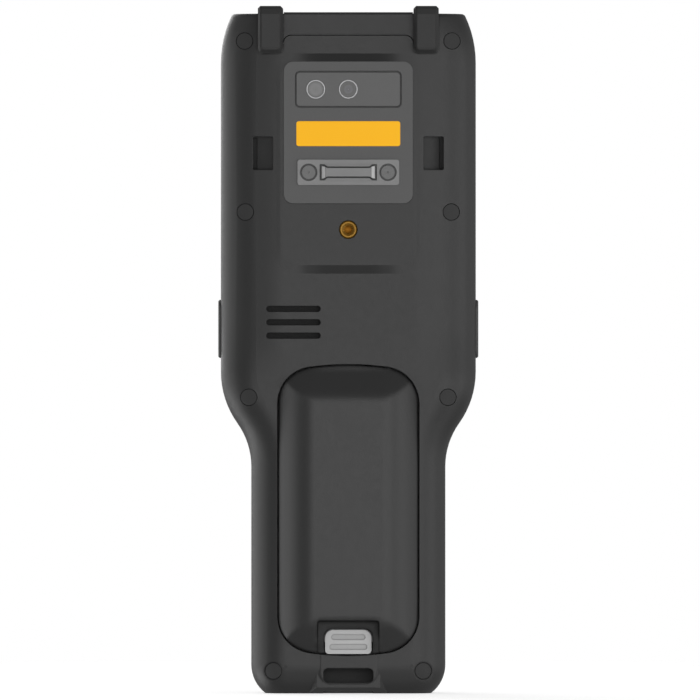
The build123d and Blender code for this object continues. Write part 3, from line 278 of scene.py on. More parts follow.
# Studio with white surroundings and soft panels round the object, all turned to the aim
studioSettings = {
    "surroundings": 0.34,
    "aim": (0, 0, 0.10),
    "panels": [
        # name, angle from the back view towards +X, height, distance, width, tall, power
        ("keyPanel", 14, 0.10, 1.5, 1.90, 0.60, 12.8),
        ("sidePanel", 72, 0.10, 1.2, 0.80, 0.60, 3.4),
        ("rightPanel", 110, 0.10, 1.2, 0.70, 0.60, 0.7),
        ("fillPanel", -34, 0.10, 1.5, 0.80, 0.60, 0.25),
        ("floorPanel", 4, -0.85, 1.1, 0.90, 0.60, 1.5),
        ("lowLeftPanel", -106, -0.50, 1.1, 0.80, 0.60, 4.7),
        ("lowRightPanel", 66, -0.65, 1.1, 0.80, 0.60, 1.5),
        ("leftPanel", -105, 0.10, 1.1, 1.50, 0.70, 5.0),
        ("backPanel", 204, 0.55, 1.5, 0.80, 0.80, 6.0),
    ],
}


def makeStudio(settings):
    world = bpy.data.worlds.new("studio")
    world.use_nodes = True
    tree = world.node_tree
    tree.nodes.clear()
    # White where the camera looks past the object, dimmer as a light
    seen = addNode(tree, "ShaderNodeLightPath").outputs["Is Camera Ray"]
    reach = {"Value": seen, "To Min": settings["surroundings"], "To Max": 1.0}
    strength = addNode(tree, "ShaderNodeMapRange", {}, reach).outputs[0]
    light = addNode(tree, "ShaderNodeBackground", {}, {"Color": (1, 1, 1), "Strength": strength})
    addNode(tree, "ShaderNodeOutputWorld", {}, {"Surface": light.outputs[0]})
    bpy.context.scene.world = world
    aim = Vector(settings["aim"])
    for name, angle, height, distance, width, tall, power in settings["panels"]:
        data = bpy.data.lights.new(name, "AREA")
        data.shape = "RECTANGLE"
        data.size, data.size_y, data.energy = width, tall, power
        panel = bpy.data.objects.new(name, data)
        turn = math.radians(angle)
        panel.location = (distance * math.sin(turn), -distance * math.cos(turn), height)
        panel.rotation_euler = (aim - panel.location).to_track_quat("-Z", "Y").to_euler()
        panel.visible_camera = False
        bpy.context.collection.objects.link(panel)


# Pale paper that glows a little and fades out from "fade" to nearly the whole radius
floorSettings = {
    "radius": 0.62, "fade": 0.30, "gone": 0.98, "rings": 24, "around": 96,
    "colour": (0.9, 0.9, 0.9), "roughness": 0.9, "glow": 0.56,
}


def makeFloor(settings):
    # Disc: radius and angle on a polar grid, x = r cos a, y = r sin a
    radii = np.linspace(0, settings["radius"], settings["rings"])[1:]
    angles = np.linspace(0, 2 * np.pi, settings["around"], endpoint=False)
    ring, turn = np.meshgrid(radii, angles, indexing="ij")
    points = np.stack([ring * np.cos(turn), ring * np.sin(turn), 0 * ring], axis=-1).reshape(-1, 3)
    points = np.vstack([points, [[0, 0, 0]]])
    floor = meshPiece("floor", points, gridFaces(len(radii), len(angles)), capFan=True)
    finish = Finish("floorPaper")
    x, y, _ = finish.axes()
    away = (x ** 2 + y ** 2) ** 0.5
    fade = away.over(settings["fade"], settings["radius"] * settings["gone"])
    look = {
        "Base Color": settings["colour"],
        "Roughness": settings["roughness"],
        "Emission Color": (1, 1, 1),
        "Emission Strength": settings["glow"],
    }
    paper = finish.node("ShaderNodeBsdfPrincipled", {}, look).outputs[0]
    clear = finish.node("ShaderNodeBsdfTransparent").outputs[0]
    blend = finish.node("ShaderNodeMixShader", {}, {0: fade, 1: paper, 2: clear})
    floor.data.materials.append(finish.shown(blend))
    floor.visible_diffuse = False
    floor.visible_glossy = False
    floor.visible_shadow = False


def gridFaces(rings, around):
    # Four corners of each cell between rings that hold the given number of points, closed round a ring
    ring, step = np.meshgrid(np.arange(rings - 1), np.arange(around), indexing="ij")
    here, beside = ring * around + step, ring * around + (step + 1) % around
    return np.stack([here, here + around, beside + around, beside], axis=-1).reshape(-1, 4)


def stripFaces(rings, around):
    # The same with a flat cap on both ends
    last = rings * around - 1
    return [*gridFaces(rings, around), range(around), range(last, last - around, -1)]


def meshPiece(name, points, faces, capFan=False, smooth=True):
    data = bpy.data.meshes.new(name)
    faces = [list(map(int, face)) for face in faces]
    if capFan:
        # The last point closes the middle of the first ring
        middle, count = len(points) - 1, faces[0][1] - faces[0][0]
        faces += [[middle, step, (step + 1) % count] for step in range(count)]
    data.from_pydata(np.asarray(points, float), [], faces)
    data.polygons.foreach_set("use_smooth", np.full(len(faces), smooth))
    data.update()
    piece = bpy.data.objects.new(name, data)
    bpy.context.collection.objects.link(piece)
    return piece


def outwards(piece, together=1e-7):
    # Merges what lies together and turns all faces outwards
    work = bmesh.new()
    work.from_mesh(piece.data)
    bmesh.ops.remove_doubles(work, verts=work.verts, dist=together)
    bmesh.ops.recalc_face_normals(work, faces=work.faces)
    work.to_mesh(piece.data)
    work.free()


makeCamera(cameraSettings)
makeStudio(studioSettings)
makeFloor(floorSettings)
bpy.context.scene.view_settings.view_transform = "Standard"
print("camera and studio made")


# A pair in the settings below is where a mask starts to change and where it has changed: distances
# in metres in a shape, plain values in a pattern.

# Painted shade in the recesses in the back of the housing: speaker slots and sled pockets in the head, strap
# slot below
recessShadeShape = {
    "half": 0.0213, "widening": 0.0063, "widens": (0.100, 0.112), "side": (-0.0001, 0.0001),
    "headStart": (0.0990, 0.1000), "slotDark": 1.3, "pocketLighter": 1.15, "pocketStart": (0.130, 0.150),
    "strapSide": (0.0074, 0.0076), "strapStart": (0.0030, 0.0032), "strapEnd": (0.0076, 0.0078),
    "depth": (-0.0099, -0.0090),
}


def backRecessShade(finish):
    # Painted shade: 1.3 in the speaker slots, 0.15 in the sled pockets, 1 in the strap slot, 0 on the skin
    # and in the bay
    shape = recessShadeShape
    x, y, z = finish.axes()
    side = abs(x)
    half = shape["half"] + z.over(*shape["widens"]) * shape["widening"]
    dark = shape["slotDark"] - z.over(*shape["pocketStart"]) * shape["pocketLighter"]
    head = (side - half).under(*shape["side"]) * z.over(*shape["headStart"]) * dark
    strap = side.under(*shape["strapSide"]) * z.under(*shape["strapEnd"]) * z.over(*shape["strapStart"])
    return (head + strap) * y.over(*shape["depth"])


def shallowCrown(finish, settings):
    # The back falls away towards both sides: height = -drop * smooth(|x|), none of it below crownLow
    # and the whole of it above crownHigh
    x, _, z = finish.axes()
    fall = abs(x).over(settings["crownStart"], settings["crownEnd"])
    return fall * z.over(settings["crownLow"], settings["crownHigh"]) * -settings["crownDrop"]


raisedBackShape = {
    "middle": (0, 0, 0.1565), "wide": 0.0426, "high": 0.0650, "corner": 0.0050,
    "inner": (-0.0032, -0.0026), "outer": (0.0002, 0.0006), "foot": (-0.0102, -0.0100),
    "crest": (-0.01265, -0.0122), "sides": (0.0060, 0.0175), "middleCalm": 0.14, "sideCalm": 0.86,
}


def raisedBackCalm(finish):
    # How much the slopes round the raised back fade into the skin: a little in the middle, wholly
    # towards its corners and along its sides
    shape = raisedBackShape
    x, y, _ = finish.axes()
    edge = finish.fromBox(shape["middle"], shape["wide"], shape["high"], shape["corner"])
    band = edge.over(*shape["inner"]) * edge.under(*shape["outer"])
    above = y.under(*shape["foot"]) * y.over(*shape["crest"])
    return band * above * (shape["middleCalm"] + abs(x).over(*shape["sides"]) * shape["sideCalm"])


strapEndShape = {
    "top": (0.0105, 0.0118), "barSide": (0.0124, 0.0130), "barRounding": 0.00045, "shoulderRounding": 0.0010,
    "toeTop": (0.0035, 0.0085), "toeSide": (0.016, 0.0245), "toeDepth": (-0.004, -0.001), "toeCalm": 0.12,
}


def housingForm(finish, edges):
    # Wider roundings on the strap bar and beside it, and calmer slopes on the raised back and at the toe
    shape = strapEndShape
    x, y, z = finish.axes()
    lowEnd = z.under(*shape["top"])
    bar = abs(x).under(*shape["barSide"])
    edges = finish.mix(lowEnd * (1 - bar), edges, finish.softEdges(shape["shoulderRounding"]))
    edges = finish.mix(lowEnd * bar, edges, finish.softEdges(shape["barRounding"]))
    toe = z.under(*shape["toeTop"]) * abs(x).under(*shape["toeSide"]) * y.under(*shape["toeDepth"])
    return finish.calmed(edges, raisedBackCalm(finish) + toe * shape["toeCalm"])


packEnds = {"rounding": 0.0024, "upper": (0.0835, 0.0865), "lower": (0.0235, 0.0265)}


def packSlopes(finish, edges):
    # Wide soft roundings where the end slopes of the pack meet its sides
    _, _, z = finish.axes()
    share = z.over(*packEnds["upper"]) + z.under(*packEnds["lower"])
    return finish.mix(share, edges, finish.softEdges(packEnds["rounding"]))


packOutline = {
    "middle": 0.05425, "half": 0.0205, "reach": 0.04255, "crown": 0.087, "corner": 0.0105,
    "cornerBlend": 0.0001, "joint": (-0.00045, -0.00015), "back": (-0.0101, -0.0099), "jointDark": 0.6,
}


def packRimShade(finish):
    # Painted shade round the pack, along the edge of its back next to the joint: 1 is the plain shell
    shape = packOutline
    x, y, z = finish.axes((0, 0, shape["middle"]))
    side, end = abs(x), abs(z)
    # The ends are arcs of the crown radius, and the corners round off where they meet the straight sides
    depth = shape["crown"] - shape["reach"]
    crown = (side ** 2 + (end + depth) ** 2) ** 0.5 - shape["crown"]
    turnX = shape["half"] - shape["corner"]
    turnZ = math.sqrt((shape["crown"] - shape["corner"]) ** 2 - turnX ** 2) - depth
    across, along = (side - turnX).larger(0.0), (end - turnZ).larger(0.0)
    corner = (across ** 2 + along ** 2) ** 0.5 - shape["corner"]
    # Between the centres of the corners only the crown counts
    outside = side.over(turnX, turnX + shape["cornerBlend"])
    past = crown.larger(outside * (corner + 1) - 1)
    return 1 - past.over(*shape["joint"]) * y.under(*shape["back"]) * shape["jointDark"]


padShape = {"middle": 0.01525, "wide": 0.0137, "high": 0.0071, "corner": 0.0018}
deckShape = {
    "side": (0.0092, 0.0093), "top": (0.0217, 0.0218), "depth": (-0.0126, -0.0125),
    "gap": (0.00025, 0.0006), "gapDark": 3.0,
}


def packDeckShade(finish):
    # Painted shade: 1 on the deck round the latch, up to 3 in the gap round its pad
    x, y, z = finish.axes()
    pad = finish.fromBox((0, 0, padShape["middle"]), padShape["wide"], padShape["high"], padShape["corner"])
    dark = deckShape["gapDark"] - pad.over(*deckShape["gap"]) * (deckShape["gapDark"] - 1)
    inside = abs(x).under(*deckShape["side"]) * z.under(*deckShape["top"])
    return inside * y.over(*deckShape["depth"]) * dark


windowShape = {"corner": 0.0012, "rim": (-0.00032, -0.00014)}


def windowRimShade(finish):
    # Painted shade on the bevelled edge of the camera window: 1 there
    low, high, middle = boxOf("camera_window")
    edge = finish.fromBox(middle, high.x - low.x, high.z - low.z, windowShape["corner"])
    return edge.over(*windowShape["rim"])


latchShadeShape = {
    "tail": (-0.01109, -0.01103),
    "grooves": [(-0.00145, 0.0112), (0.00145, 0.0101)],  # height from the pad's middle, width
    "high": 0.0017, "corner": 0.00085, "edge": (-0.00005, 0.0001),
    "wall": (-0.0004, -0.0001), "floorDark": 0.24, "wallDark": 0.26,
}


def latchShade(finish):
    # Painted shade: 1 on the tail of the latch, which lies deeper than its pad. In the two finger grooves of
    # the pad a quarter on the floor and a half along the walls
    marks = latchShadeShape
    _, y, _ = finish.axes()
    grooveShade = 0.0
    for height, wide in marks["grooves"]:
        edge = finish.fromBox((0, 0, padShape["middle"] + height), wide, marks["high"], marks["corner"])
        depth = marks["floorDark"] + edge.over(*marks["wall"]) * marks["wallDark"]
        grooveShade = edge.under(*marks["edge"]) * depth + grooveShade
    return y.over(*marks["tail"]).larger(grooveShade)


bumperShape = {
    "low": 0.1890, "corner": 0.0019, "bevel": 0.0011, "fall": 1.25, "topBand": 0.2006, "topFall": 0.55,
    "back": (-0.0131, -0.0120), "joint": (0.00010, 0.00050), "jointDark": 0.75,
}


def fromBumper(finish):
    # Distance to the outline of either bumper on the back, below 0 inside it
    low, high, middle = boxOf("bumper_right")
    x, _, z = finish.axes()
    corner = bumperShape["corner"]
    across = abs(abs(x) - middle.x) - ((high.x - low.x) / 2 - corner)
    return rounded(across, bumperShape["low"] + corner - z, corner)


def bumperBevel(finish, edges):
    # Bevels round the back of a bumper and its slope over the top: height = -fall * distance into them
    shape = bumperShape
    _, y, z = finish.axes()
    into = (fromBumper(finish) + shape["bevel"]).larger(0.0) * shape["fall"]
    over = (z - shape["topBand"]).larger(0.0) * shape["topFall"]
    return finish.bump((into + over) * y.under(*shape["back"]) * -1.0, 1.0, normal=edges)


capShape = {"foot": 0.19465, "joint": (0.00015, 0.00045), "side": (0.0168, 0.0176), "jointDark": 0.4}


def topJointShade(finish):
    # Painted shade on the skin along both bumpers and under the cap, where they meet it: 1 is the plain skin
    x, _, z = finish.axes((0, 0, capShape["foot"]))
    capJointShade = abs(z).under(*capShape["joint"]) * abs(x).under(*capShape["side"])
    bumperJointShade = fromBumper(finish).under(*bumperShape["joint"])
    return (1 - bumperJointShade * bumperShape["jointDark"]) * (1 - capJointShade * capShape["jointDark"])


edgeWear = (0.004, 0.12)


def edgeMask(finish, edges):
    # 0 on open faces, 1 where the softened normal leaves the true one, by 1 - cosine of the angle
    true = finish.node("ShaderNodeNewGeometry").outputs["Normal"]
    dot = finish.node("ShaderNodeVectorMath", {"operation": "DOT_PRODUCT"}, {0: edges, 1: true})
    return (1 - Number(finish, dot.outputs["Value"])).over(*edgeWear)


shellSettings = {
    "level": 39, "tint": (1.0, 1.0, 1.0), "cloudScale": 38.0, "mottle": 0.05, "speckle": 0.10,
    "grainScale": 2600.0, "speckShare": 0.35, "grainDepth": 0.00003, "grainStrength": 0.55,
    "grainMix": 0.7, "speckMix": 0.3, "edge": 0.00018, "edgeLift": 0.16, "edgePolish": 0.08,
    "roughness": 0.44, "roughSpeck": 0.12, "gloss": 1.37, "softForm": None, "shade": None,
    # The recess keys give painted shade: where it falls, how strong it is and its colour
    "recessShade": None, "recessShadeStrength": 0.65, "recessShadeColour": (0.001, 0.001, 0.001), "recessRough": 0.2,
    "crownStart": 0.019, "crownEnd": 0.033, "crownDrop": 0.0, "crownLow": 0.086, "crownHigh": 0.110,
}


def mouldedFinish(name, **changes):
    # Moulded plastic: fine spark-eroded grain, faint clouding, slightly polished edges
    settings = {**shellSettings, **changes}
    finish = Finish(name)
    base = tuple(np.array(grey(settings["level"])) * np.array(settings["tint"]))
    cloud = finish.noise(settings["cloudScale"], detail=3.0)
    grain = finish.noise(settings["grainScale"])
    speck = finish.noise(settings["grainScale"] * settings["speckShare"], detail=3.0)
    edges = finish.softEdges(settings["edge"])
    worn = edgeMask(finish, edges)
    if settings["recessShade"]:
        # Painted shade down in the recesses: colour drawn towards near black, and duller
        dark = settings["recessShade"](finish)
        base = finish.mix(dark * settings["recessShadeStrength"], base, settings["recessShadeColour"])
        worn = worn * (1 - dark)
    tone = 1 + (cloud - 0.5) * (2 * settings["mottle"]) + (speck - 0.5) * settings["speckle"]
    tone = tone + worn * settings["edgeLift"]
    # Painted shade, where the piece gives a shade function
    if settings["shade"]:
        tone = tone * settings["shade"](finish)
    if settings["softForm"]:
        edges = settings["softForm"](finish, edges)
    if settings["crownDrop"]:
        edges = finish.bump(shallowCrown(finish, settings), 1.0, normal=edges)
    height = grain * settings["grainMix"] + speck * settings["speckMix"]
    rough = settings["roughness"] + (speck - 0.5) * settings["roughSpeck"] - worn * settings["edgePolish"]
    if settings["recessShade"]:
        rough = rough + dark * settings["recessRough"]
    return finish.surface({
        "Base Color": finish.toned(base, tone),
        "Roughness": rough,
        "Normal": finish.bump(height, settings["grainDepth"], settings["grainStrength"], edges),
        "IOR": settings["gloss"],
    })


rubberSettings = {
    "roughness": 0.72, "skinScale": 1500.0, "dustScale": 90.0, "dust": 0.18, "speckle": 0.12,
    "dustRough": 0.14, "edge": 0.0002, "grainDepth": 0.00003, "grainStrength": 0.5, "gloss": 1.45,
    "form": None,
}


def rubberFinish(name, level, **changes):
    # Rubber: pitted skin with dust in patches
    settings = {**rubberSettings, **changes}
    finish = Finish(name)
    skin = finish.noise(settings["skinScale"], detail=4.0)
    dust = finish.noise(settings["dustScale"], detail=4.0)
    edges = finish.softEdges(settings["edge"])
    tone = 1 + (dust - 0.5) * settings["dust"] + (skin - 0.5) * settings["speckle"]
    if settings["form"]:
        edges = settings["form"](finish, edges)
    return finish.surface({
        "Base Color": finish.toned(grey(level), tone),
        "Roughness": settings["roughness"] + (dust - 0.5) * settings["dustRough"],
        "Normal": finish.bump(skin, settings["grainDepth"], settings["grainStrength"], edges),
        "IOR": settings["gloss"],
    })


metalSettings = {
    "metallic": 1.0, "stretch": (400.0, 400.0, 6000.0), "lines": 0.22, "lineRough": 0.16,
    "lineDepth": 0.000008, "lineStrength": 0.5, "blotchScale": 220.0, "blotches": 0.10,
    "edge": 0.00008, "wear": 0.25, "shade": None,
}


def metalFinish(name, colour, roughness, **changes):
    # Metal with fine lines along one direction and slightly brighter rubbed edges
    settings = {**metalSettings, **changes}
    finish = Finish(name)
    stretched = finish.vector("MULTIPLY", {0: finish.place, 1: settings["stretch"]})
    lines = finish.noise(1.0, detail=3.0, place=stretched)
    blotch = finish.noise(settings["blotchScale"], detail=3.0)
    edges = finish.softEdges(settings["edge"])
    worn = edgeMask(finish, edges)
    tone = 1 + (lines - 0.5) * settings["lines"] + (blotch - 0.5) * settings["blotches"]
    tone = tone + worn * settings["wear"]
    # Painted shade and painted highlight, where the piece gives a shade function
    if settings["shade"]:
        tone = tone * settings["shade"](finish)
    return finish.surface({
        "Base Color": finish.toned(colour, tone),
        "Metallic": settings["metallic"],
        "Roughness": roughness + (lines - 0.5) * settings["lineRough"],
        "Normal": finish.bump(lines, settings["lineDepth"], settings["lineStrength"], edges),
    })


bracketShape = {
    "screwInset": 0.00205, "grooveInner": (0.0019, 0.00215), "grooveOuter": (0.00245, 0.0027),
    "grooveDark": 0.9, "endsInner": (0.0067, 0.0070), "endsOuter": (0.0077, 0.0079),
    "endsHigh": (0.0016, 0.0019), "endsBright": 3.0,
}


def bracketShade(finish):
    # Painted shade in the ring grooves round the screws, painted highlight on the ends of the bridge: 1 is
    # the plain coating
    shape = bracketShape
    low, high, middle = boxOf("bracket_screws")
    reach = (high.x - low.x) / 2 - shape["screwInset"]
    left, right = [finish.fromPoint((middle.x + side * reach, 0, middle.z)) for side in (-1, 1)]
    near = left.smaller(right)
    groove = near.over(*shape["grooveInner"]) * near.under(*shape["grooveOuter"])
    x, _, z = finish.axes(middle)
    ends = abs(x).over(*shape["endsInner"]) * abs(x).under(*shape["endsOuter"])
    ends = ends * abs(z).under(*shape["endsHigh"])
    return (1 - groove * shape["grooveDark"]) * (1 + ends * shape["endsBright"])


bracketShadowShape = {"wide": 0.0170, "high": 0.0049, "corner": 0.0002, "edge": (-0.0002, 0.0), "dark": 0.55}


def shadeUnderBracket(finish):
    # Painted shade on the plate under the bridge of the strap bracket: 1 is the plain plate
    middle = boxOf("bracket_screws")[2]
    edge = finish.fromBox(middle, bracketShadowShape["wide"], bracketShadowShape["high"], bracketShadowShape["corner"])
    return 1 - edge.under(*bracketShadowShape["edge"]) * bracketShadowShape["dark"]


neutral = (1.0, 1.0, 1.0)
cold = (0.95, 0.95, 1.12)
# Bands of a lens: radius in mm, grey level, tint
cameraLens = {
    "node": "camera_lens", "roughness": 0.22,
    # The bright first band in the middle is a painted glint
    "bands": [(0.0, 110, cold), (0.18, 50, cold), (0.95, 62, cold),
              (1.3, 56, neutral), (1.5, 40, neutral), (2.4, 52, neutral)],
}
flashLens = {
    "node": "flash_lens", "roughness": 0.30,
    "bands": [(0.0, 92, neutral), (1.4, 98, neutral), (2.0, 88, neutral), (2.4, 74, neutral)],
}
lensSettings = {"cellScale": 2200.0, "cellRough": 0.08, "gloss": 1.4, "coat": 0.15, "coatRough": 0.08}


def lensFinish(name, lens, settings=lensSettings):
    # Round lens: colour by the distance from its middle
    finish = Finish(name)
    away = finish.fromPoint(boxOf(lens["node"])[2]) * (1 / mm)
    widest = lens["bands"][-1][0]
    stops = [(radius / widest, np.array(grey(level)) * tint) for radius, level, tint in lens["bands"]]
    cells = finish.noise(settings["cellScale"])
    return finish.surface({
        "Base Color": finish.node("ShaderNodeValToRGB", {"stops": stops}, {0: away / widest}).outputs[0],
        "Roughness": lens["roughness"] + (cells - 0.5) * settings["cellRough"],
        "IOR": settings["gloss"],
        "Coat Weight": settings["coat"],
        "Coat Roughness": settings["coatRough"],
    })


clothSettings = {
    "pitch": 0.00042, "holes": (-0.15, 0.45), "wire": 24, "hole": 3, "metallic": 0.2,
    "roughness": 0.72, "holeRough": 0.25, "depth": 0.00006, "strength": 0.8,
}


def meshFinish(name, settings=clothSettings):
    # Woven wire cloth: two sine weaves across each other leave small dark holes
    finish = Finish(name)
    x, _, z = finish.axes()
    turn = 2 * math.pi / settings["pitch"]
    holes = ((x * turn).maths("SINE") * (z * turn).maths("SINE")).over(*settings["holes"])
    return finish.surface({
        "Base Color": finish.mix(holes, grey(settings["wire"]), grey(settings["hole"])),
        "Metallic": settings["metallic"],
        "Roughness": settings["roughness"] + holes * settings["holeRough"],
        "Normal": finish.bump(1 - holes, settings["depth"], settings["strength"]),
    })


boardSettings = {
    "trackTurn": 2600, "trackMix": 0.5, "trackScale": 160.0, "tracks": (0.55, 0.75), "padScale": 420.0,
    "pads": (0.66, 0.70), "mask": (0.010, 0.055, 0.028), "raised": (0.018, 0.095, 0.045),
    "padColour": (0.55, 0.42, 0.16), "roughness": 0.38, "trackRough": 0.1, "depth": 0.00003, "strength": 0.6,
}


def boardFinish(name, settings=boardSettings):
    # Green solder mask over copper areas, with small pads
    finish = Finish(name)
    x, _, _ = finish.axes()
    stripes = (x * settings["trackTurn"]).maths("SINE") * settings["trackMix"]
    tracks = (stripes + finish.noise(settings["trackScale"])).over(*settings["tracks"])
    pads = finish.noise(settings["padScale"], detail=0.0).over(*settings["pads"])
    mask = finish.mix(tracks, settings["mask"], settings["raised"])
    return finish.surface({
        "Base Color": finish.mix(pads, mask, settings["padColour"]),
        "Roughness": settings["roughness"] + tracks * settings["trackRough"],
        "Metallic": pads,
        "Normal": finish.bump(tracks, settings["depth"], settings["strength"]),
    })


screenSettings = {
    "sideBorder": 0.0036, "endBorder": 0.0046, "border": (-0.0001, 0.0001), "ink": (0.0035, 0.0035, 0.004),
    "picture": (0.010, 0.012, 0.015), "smearScale": 60.0, "smear": 0.07, "roughness": 0.05,
    "gloss": 1.5, "coat": 0.5, "coatRough": 0.03,
}


def screenFinish(name, settings=screenSettings):
    # Cover glass: black printed border, a hair darker than the switched-off picture area
    finish = Finish(name)
    low, high, middle = boxOf("display_glass")
    halfWide = (high.x - low.x) / 2 - settings["sideBorder"]
    halfHigh = (high.z - low.z) / 2 - settings["endBorder"]
    inside = finish.fromSides(middle, halfWide, halfHigh).under(*settings["border"])
    smear = finish.noise(settings["smearScale"], detail=5.0)
    return finish.surface({
        "Base Color": finish.mix(inside, settings["ink"], settings["picture"]),
        "Roughness": settings["roughness"] + smear * settings["smear"],
        "IOR": settings["gloss"],
        "Coat Weight": settings["coat"],
        "Coat Roughness": settings["coatRough"],
    })


stickerSettings = {
    "deep": (0.98, 0.475, 0.003), "pale": (1.0, 0.53, 0.008), "fadeScale": 70.0, "fade": 0.35,
    "inkScale": 900.0, "ink": 0.12, "cutEdge": (-0.00022, -0.00006), "cutColour": (0.62, 0.27, 0.012),
    "cutDark": 0.55, "roughness": 0.36, "inkRough": 0.12, "depth": 0.000006, "strength": 0.4, "shine": 0.12,
}


def stickerFinish(name, settings=stickerSettings):
    # Printed polyester sticker, left blank, with a faint darker cut edge
    finish = Finish(name)
    low, high, middle = boxOf("blank_label")
    rim = finish.fromSides(middle, (high.x - low.x) / 2, (high.z - low.z) / 2).over(*settings["cutEdge"])
    ink = finish.noise(settings["inkScale"], detail=3.0)
    fade = finish.noise(settings["fadeScale"], detail=3.0)
    share = fade * settings["fade"] + ink * settings["ink"]
    amber = finish.mix(share, settings["deep"], settings["pale"])
    return finish.surface({
        "Base Color": finish.mix(rim * settings["cutDark"], amber, settings["cutColour"]),
        "Roughness": settings["roughness"] + (ink - 0.5) * settings["inkRough"],
        "Normal": finish.bump(ink, settings["depth"], settings["strength"]),
        "Specular IOR Level": settings["shine"],
    })


filterSettings = {
    "colour": (0.055, 0.004, 0.006), "smearScale": 120.0, "smear": 0.06, "roughness": 0.04,
    "gloss": 1.5, "coat": 0.4,
}


def filterFinish(name, settings=filterSettings):
    # Dark red filter in front of the imager
    finish = Finish(name)
    smear = finish.noise(settings["smearScale"], detail=4.0)
    return finish.surface({
        "Base Color": settings["colour"],
        "Roughness": settings["roughness"] + smear * settings["smear"],
        "Coat Weight": settings["coat"],
        "IOR": settings["gloss"],
    })


finishes = {}


def dress(material, *nodes):
    for name in nodes:
        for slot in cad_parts[name].material_slots:
            slot.material = material
        finishes[name] = material.name


# What each piece changes of the settings above
rearShell = {"recessShade": backRecessShade, "softForm": housingForm, "shade": topJointShade, "crownDrop": 0.0017}
packShell = {
    "level": 43, "roughness": 0.42, "recessShade": packDeckShade, "recessShadeStrength": 0.22,
    "softForm": packSlopes, "shade": packRimShade,
    "crownStart": 0.010, "crownEnd": 0.0215, "crownDrop": 0.0014, "crownLow": 0.0, "crownHigh": 0.001,
}
plateShell = {"level": 76, "roughness": 0.46, "grainDepth": 0.000015, "shade": shadeUnderBracket}
windowShell = {
    "level": 75, "roughness": 0.34, "grainDepth": 0.000004, "edgeLift": 0.1,
    "recessShade": windowRimShade, "recessShadeStrength": 0.7,
}
latchShell = {"level": 175, "roughness": 0.44, "mottle": 0.03, "edgeLift": 0.12, "recessShade": latchShade}
coatedMetal = {"roughness": 0.42, "metallic": 0.3, "shade": bracketShade}
plainKeys = [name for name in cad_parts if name.startswith("key_") and name != "key_scan"]

dress(mouldedFinish("charcoalShell", **rearShell), "rear_housing")
dress(mouldedFinish("frontShell"), "front_housing")
dress(mouldedFinish("capShell", level=38, shade=topJointShade), "scan_bezel")
dress(mouldedFinish("packShell", **packShell), "battery_case", "battery_base")
dress(rubberFinish("bumperRubber", level=45, form=bumperBevel), "bumper_left", "bumper_right")
dress(rubberFinish("plugRubber", level=38), "screw_plugs")
dress(rubberFinish("sealRubber", level=26), "housing_seal")
dress(mouldedFinish("greyPlate", **plateShell), "rear_plate")
dress(mouldedFinish("greyWindow", **windowShell), "camera_window")
dress(metalFinish("turnedRings", (0.30, 0.30, 0.305), roughness=0.42, metallic=0.7), "lens_rings")
dress(lensFinish("cameraGlass", cameraLens), "camera_lens")
dress(lensFinish("flashGlass", flashLens), "flash_lens")
dress(stickerFinish("blankAmber"), "blank_label")
dress(metalFinish("coatedSteel", grey(104), **coatedMetal), "strap_bracket")
dress(metalFinish("coatedScrews", grey(84), **coatedMetal), "bracket_screws")
dress(metalFinish("brass", (0.25, 0.128, 0.013), roughness=0.48, metallic=0.6), "grip_insert")
dress(mouldedFinish("latchGrey", **latchShell), "battery_latch")
dress(metalFinish("springSteel", (0.5, 0.5, 0.5), roughness=0.3), "latch_spring", "housing_screws")
dress(meshFinish("speakerCloth"), "speaker_mesh", "earpiece_mesh")
dress(mouldedFinish("blackPart", level=34), "speaker", "scan_engine", "camera_module", "side_switches")
dress(metalFinish("goldContacts", (0.72, 0.47, 0.14), roughness=0.25), "battery_contacts")
dress(metalFinish("socketSteel", (0.48, 0.48, 0.49), roughness=0.28), "usb_socket")
dress(metalFinish("castFrame", (0.34, 0.34, 0.35), roughness=0.45), "inner_frame")
dress(boardFinish("solderMask"), "main_board", "keypad_board")
dress(rubberFinish("matRubber", level=70), "keypad_mat")
dress(mouldedFinish("cellWrap", level=90, tint=(0.35, 0.55, 1.0), roughness=0.35), "battery_cells")
dress(screenFinish("coverGlass"), "display_glass")
dress(mouldedFinish("picturePanel", level=30, roughness=0.2), "display_panel")
dress(rubberFinish("sideKeyRubber", level=58, roughness=0.6), "side_key_left", "side_key_right")
dress(mouldedFinish("keyCaps", level=52, roughness=0.48), *plainKeys)
dress(mouldedFinish("scanKeyCap", level=200, tint=(1.0, 0.42, 0.03), roughness=0.42), "key_scan")
dress(filterFinish("redFilter"), "scan_window")
print("finishes on", len(finishes), "of", len(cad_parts), "nodes")


# The bars are sunk a hair into the plate, so that no two faces share a place
ledgeSettings = {
    "inner": 0.00170, "outer": 0.00243, "innerReach": 0.0062, "outerReach": 0.0071,
    "rise": 0.0005, "sink": 0.00002,
}


def makeLedges(settings):
    # Two bars along the slits of the strap bracket, level with its face, their ends cut to the flare:
    # each is the flat outline (x, z) carried from the plate to the face, y = plate - rise * (0 or 1)
    plate = boxOf("rear_plate")[0].y + settings["sink"]
    middle = boxOf("bracket_screws")[2]
    innerReach, outerReach = settings["innerReach"], settings["outerReach"]
    for name, side in (("bracketLedgeTop", 1), ("bracketLedgeBottom", -1)):
        inner, outer = side * settings["inner"], side * settings["outer"]
        x = middle.x + np.array([-innerReach, innerReach, outerReach, -outerReach])
        z = middle.z + np.array([inner, inner, outer, outer])
        rings = [np.stack([x, 0 * x + y, z], axis=-1) for y in (plate, plate - settings["rise"])]
        ledge = meshPiece(name, np.vstack(rings), stripFaces(2, 4), smooth=False)
        outwards(ledge)
        ledge.data.materials.append(bpy.data.materials["coatedSteel"])
        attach(ledge, "housing")


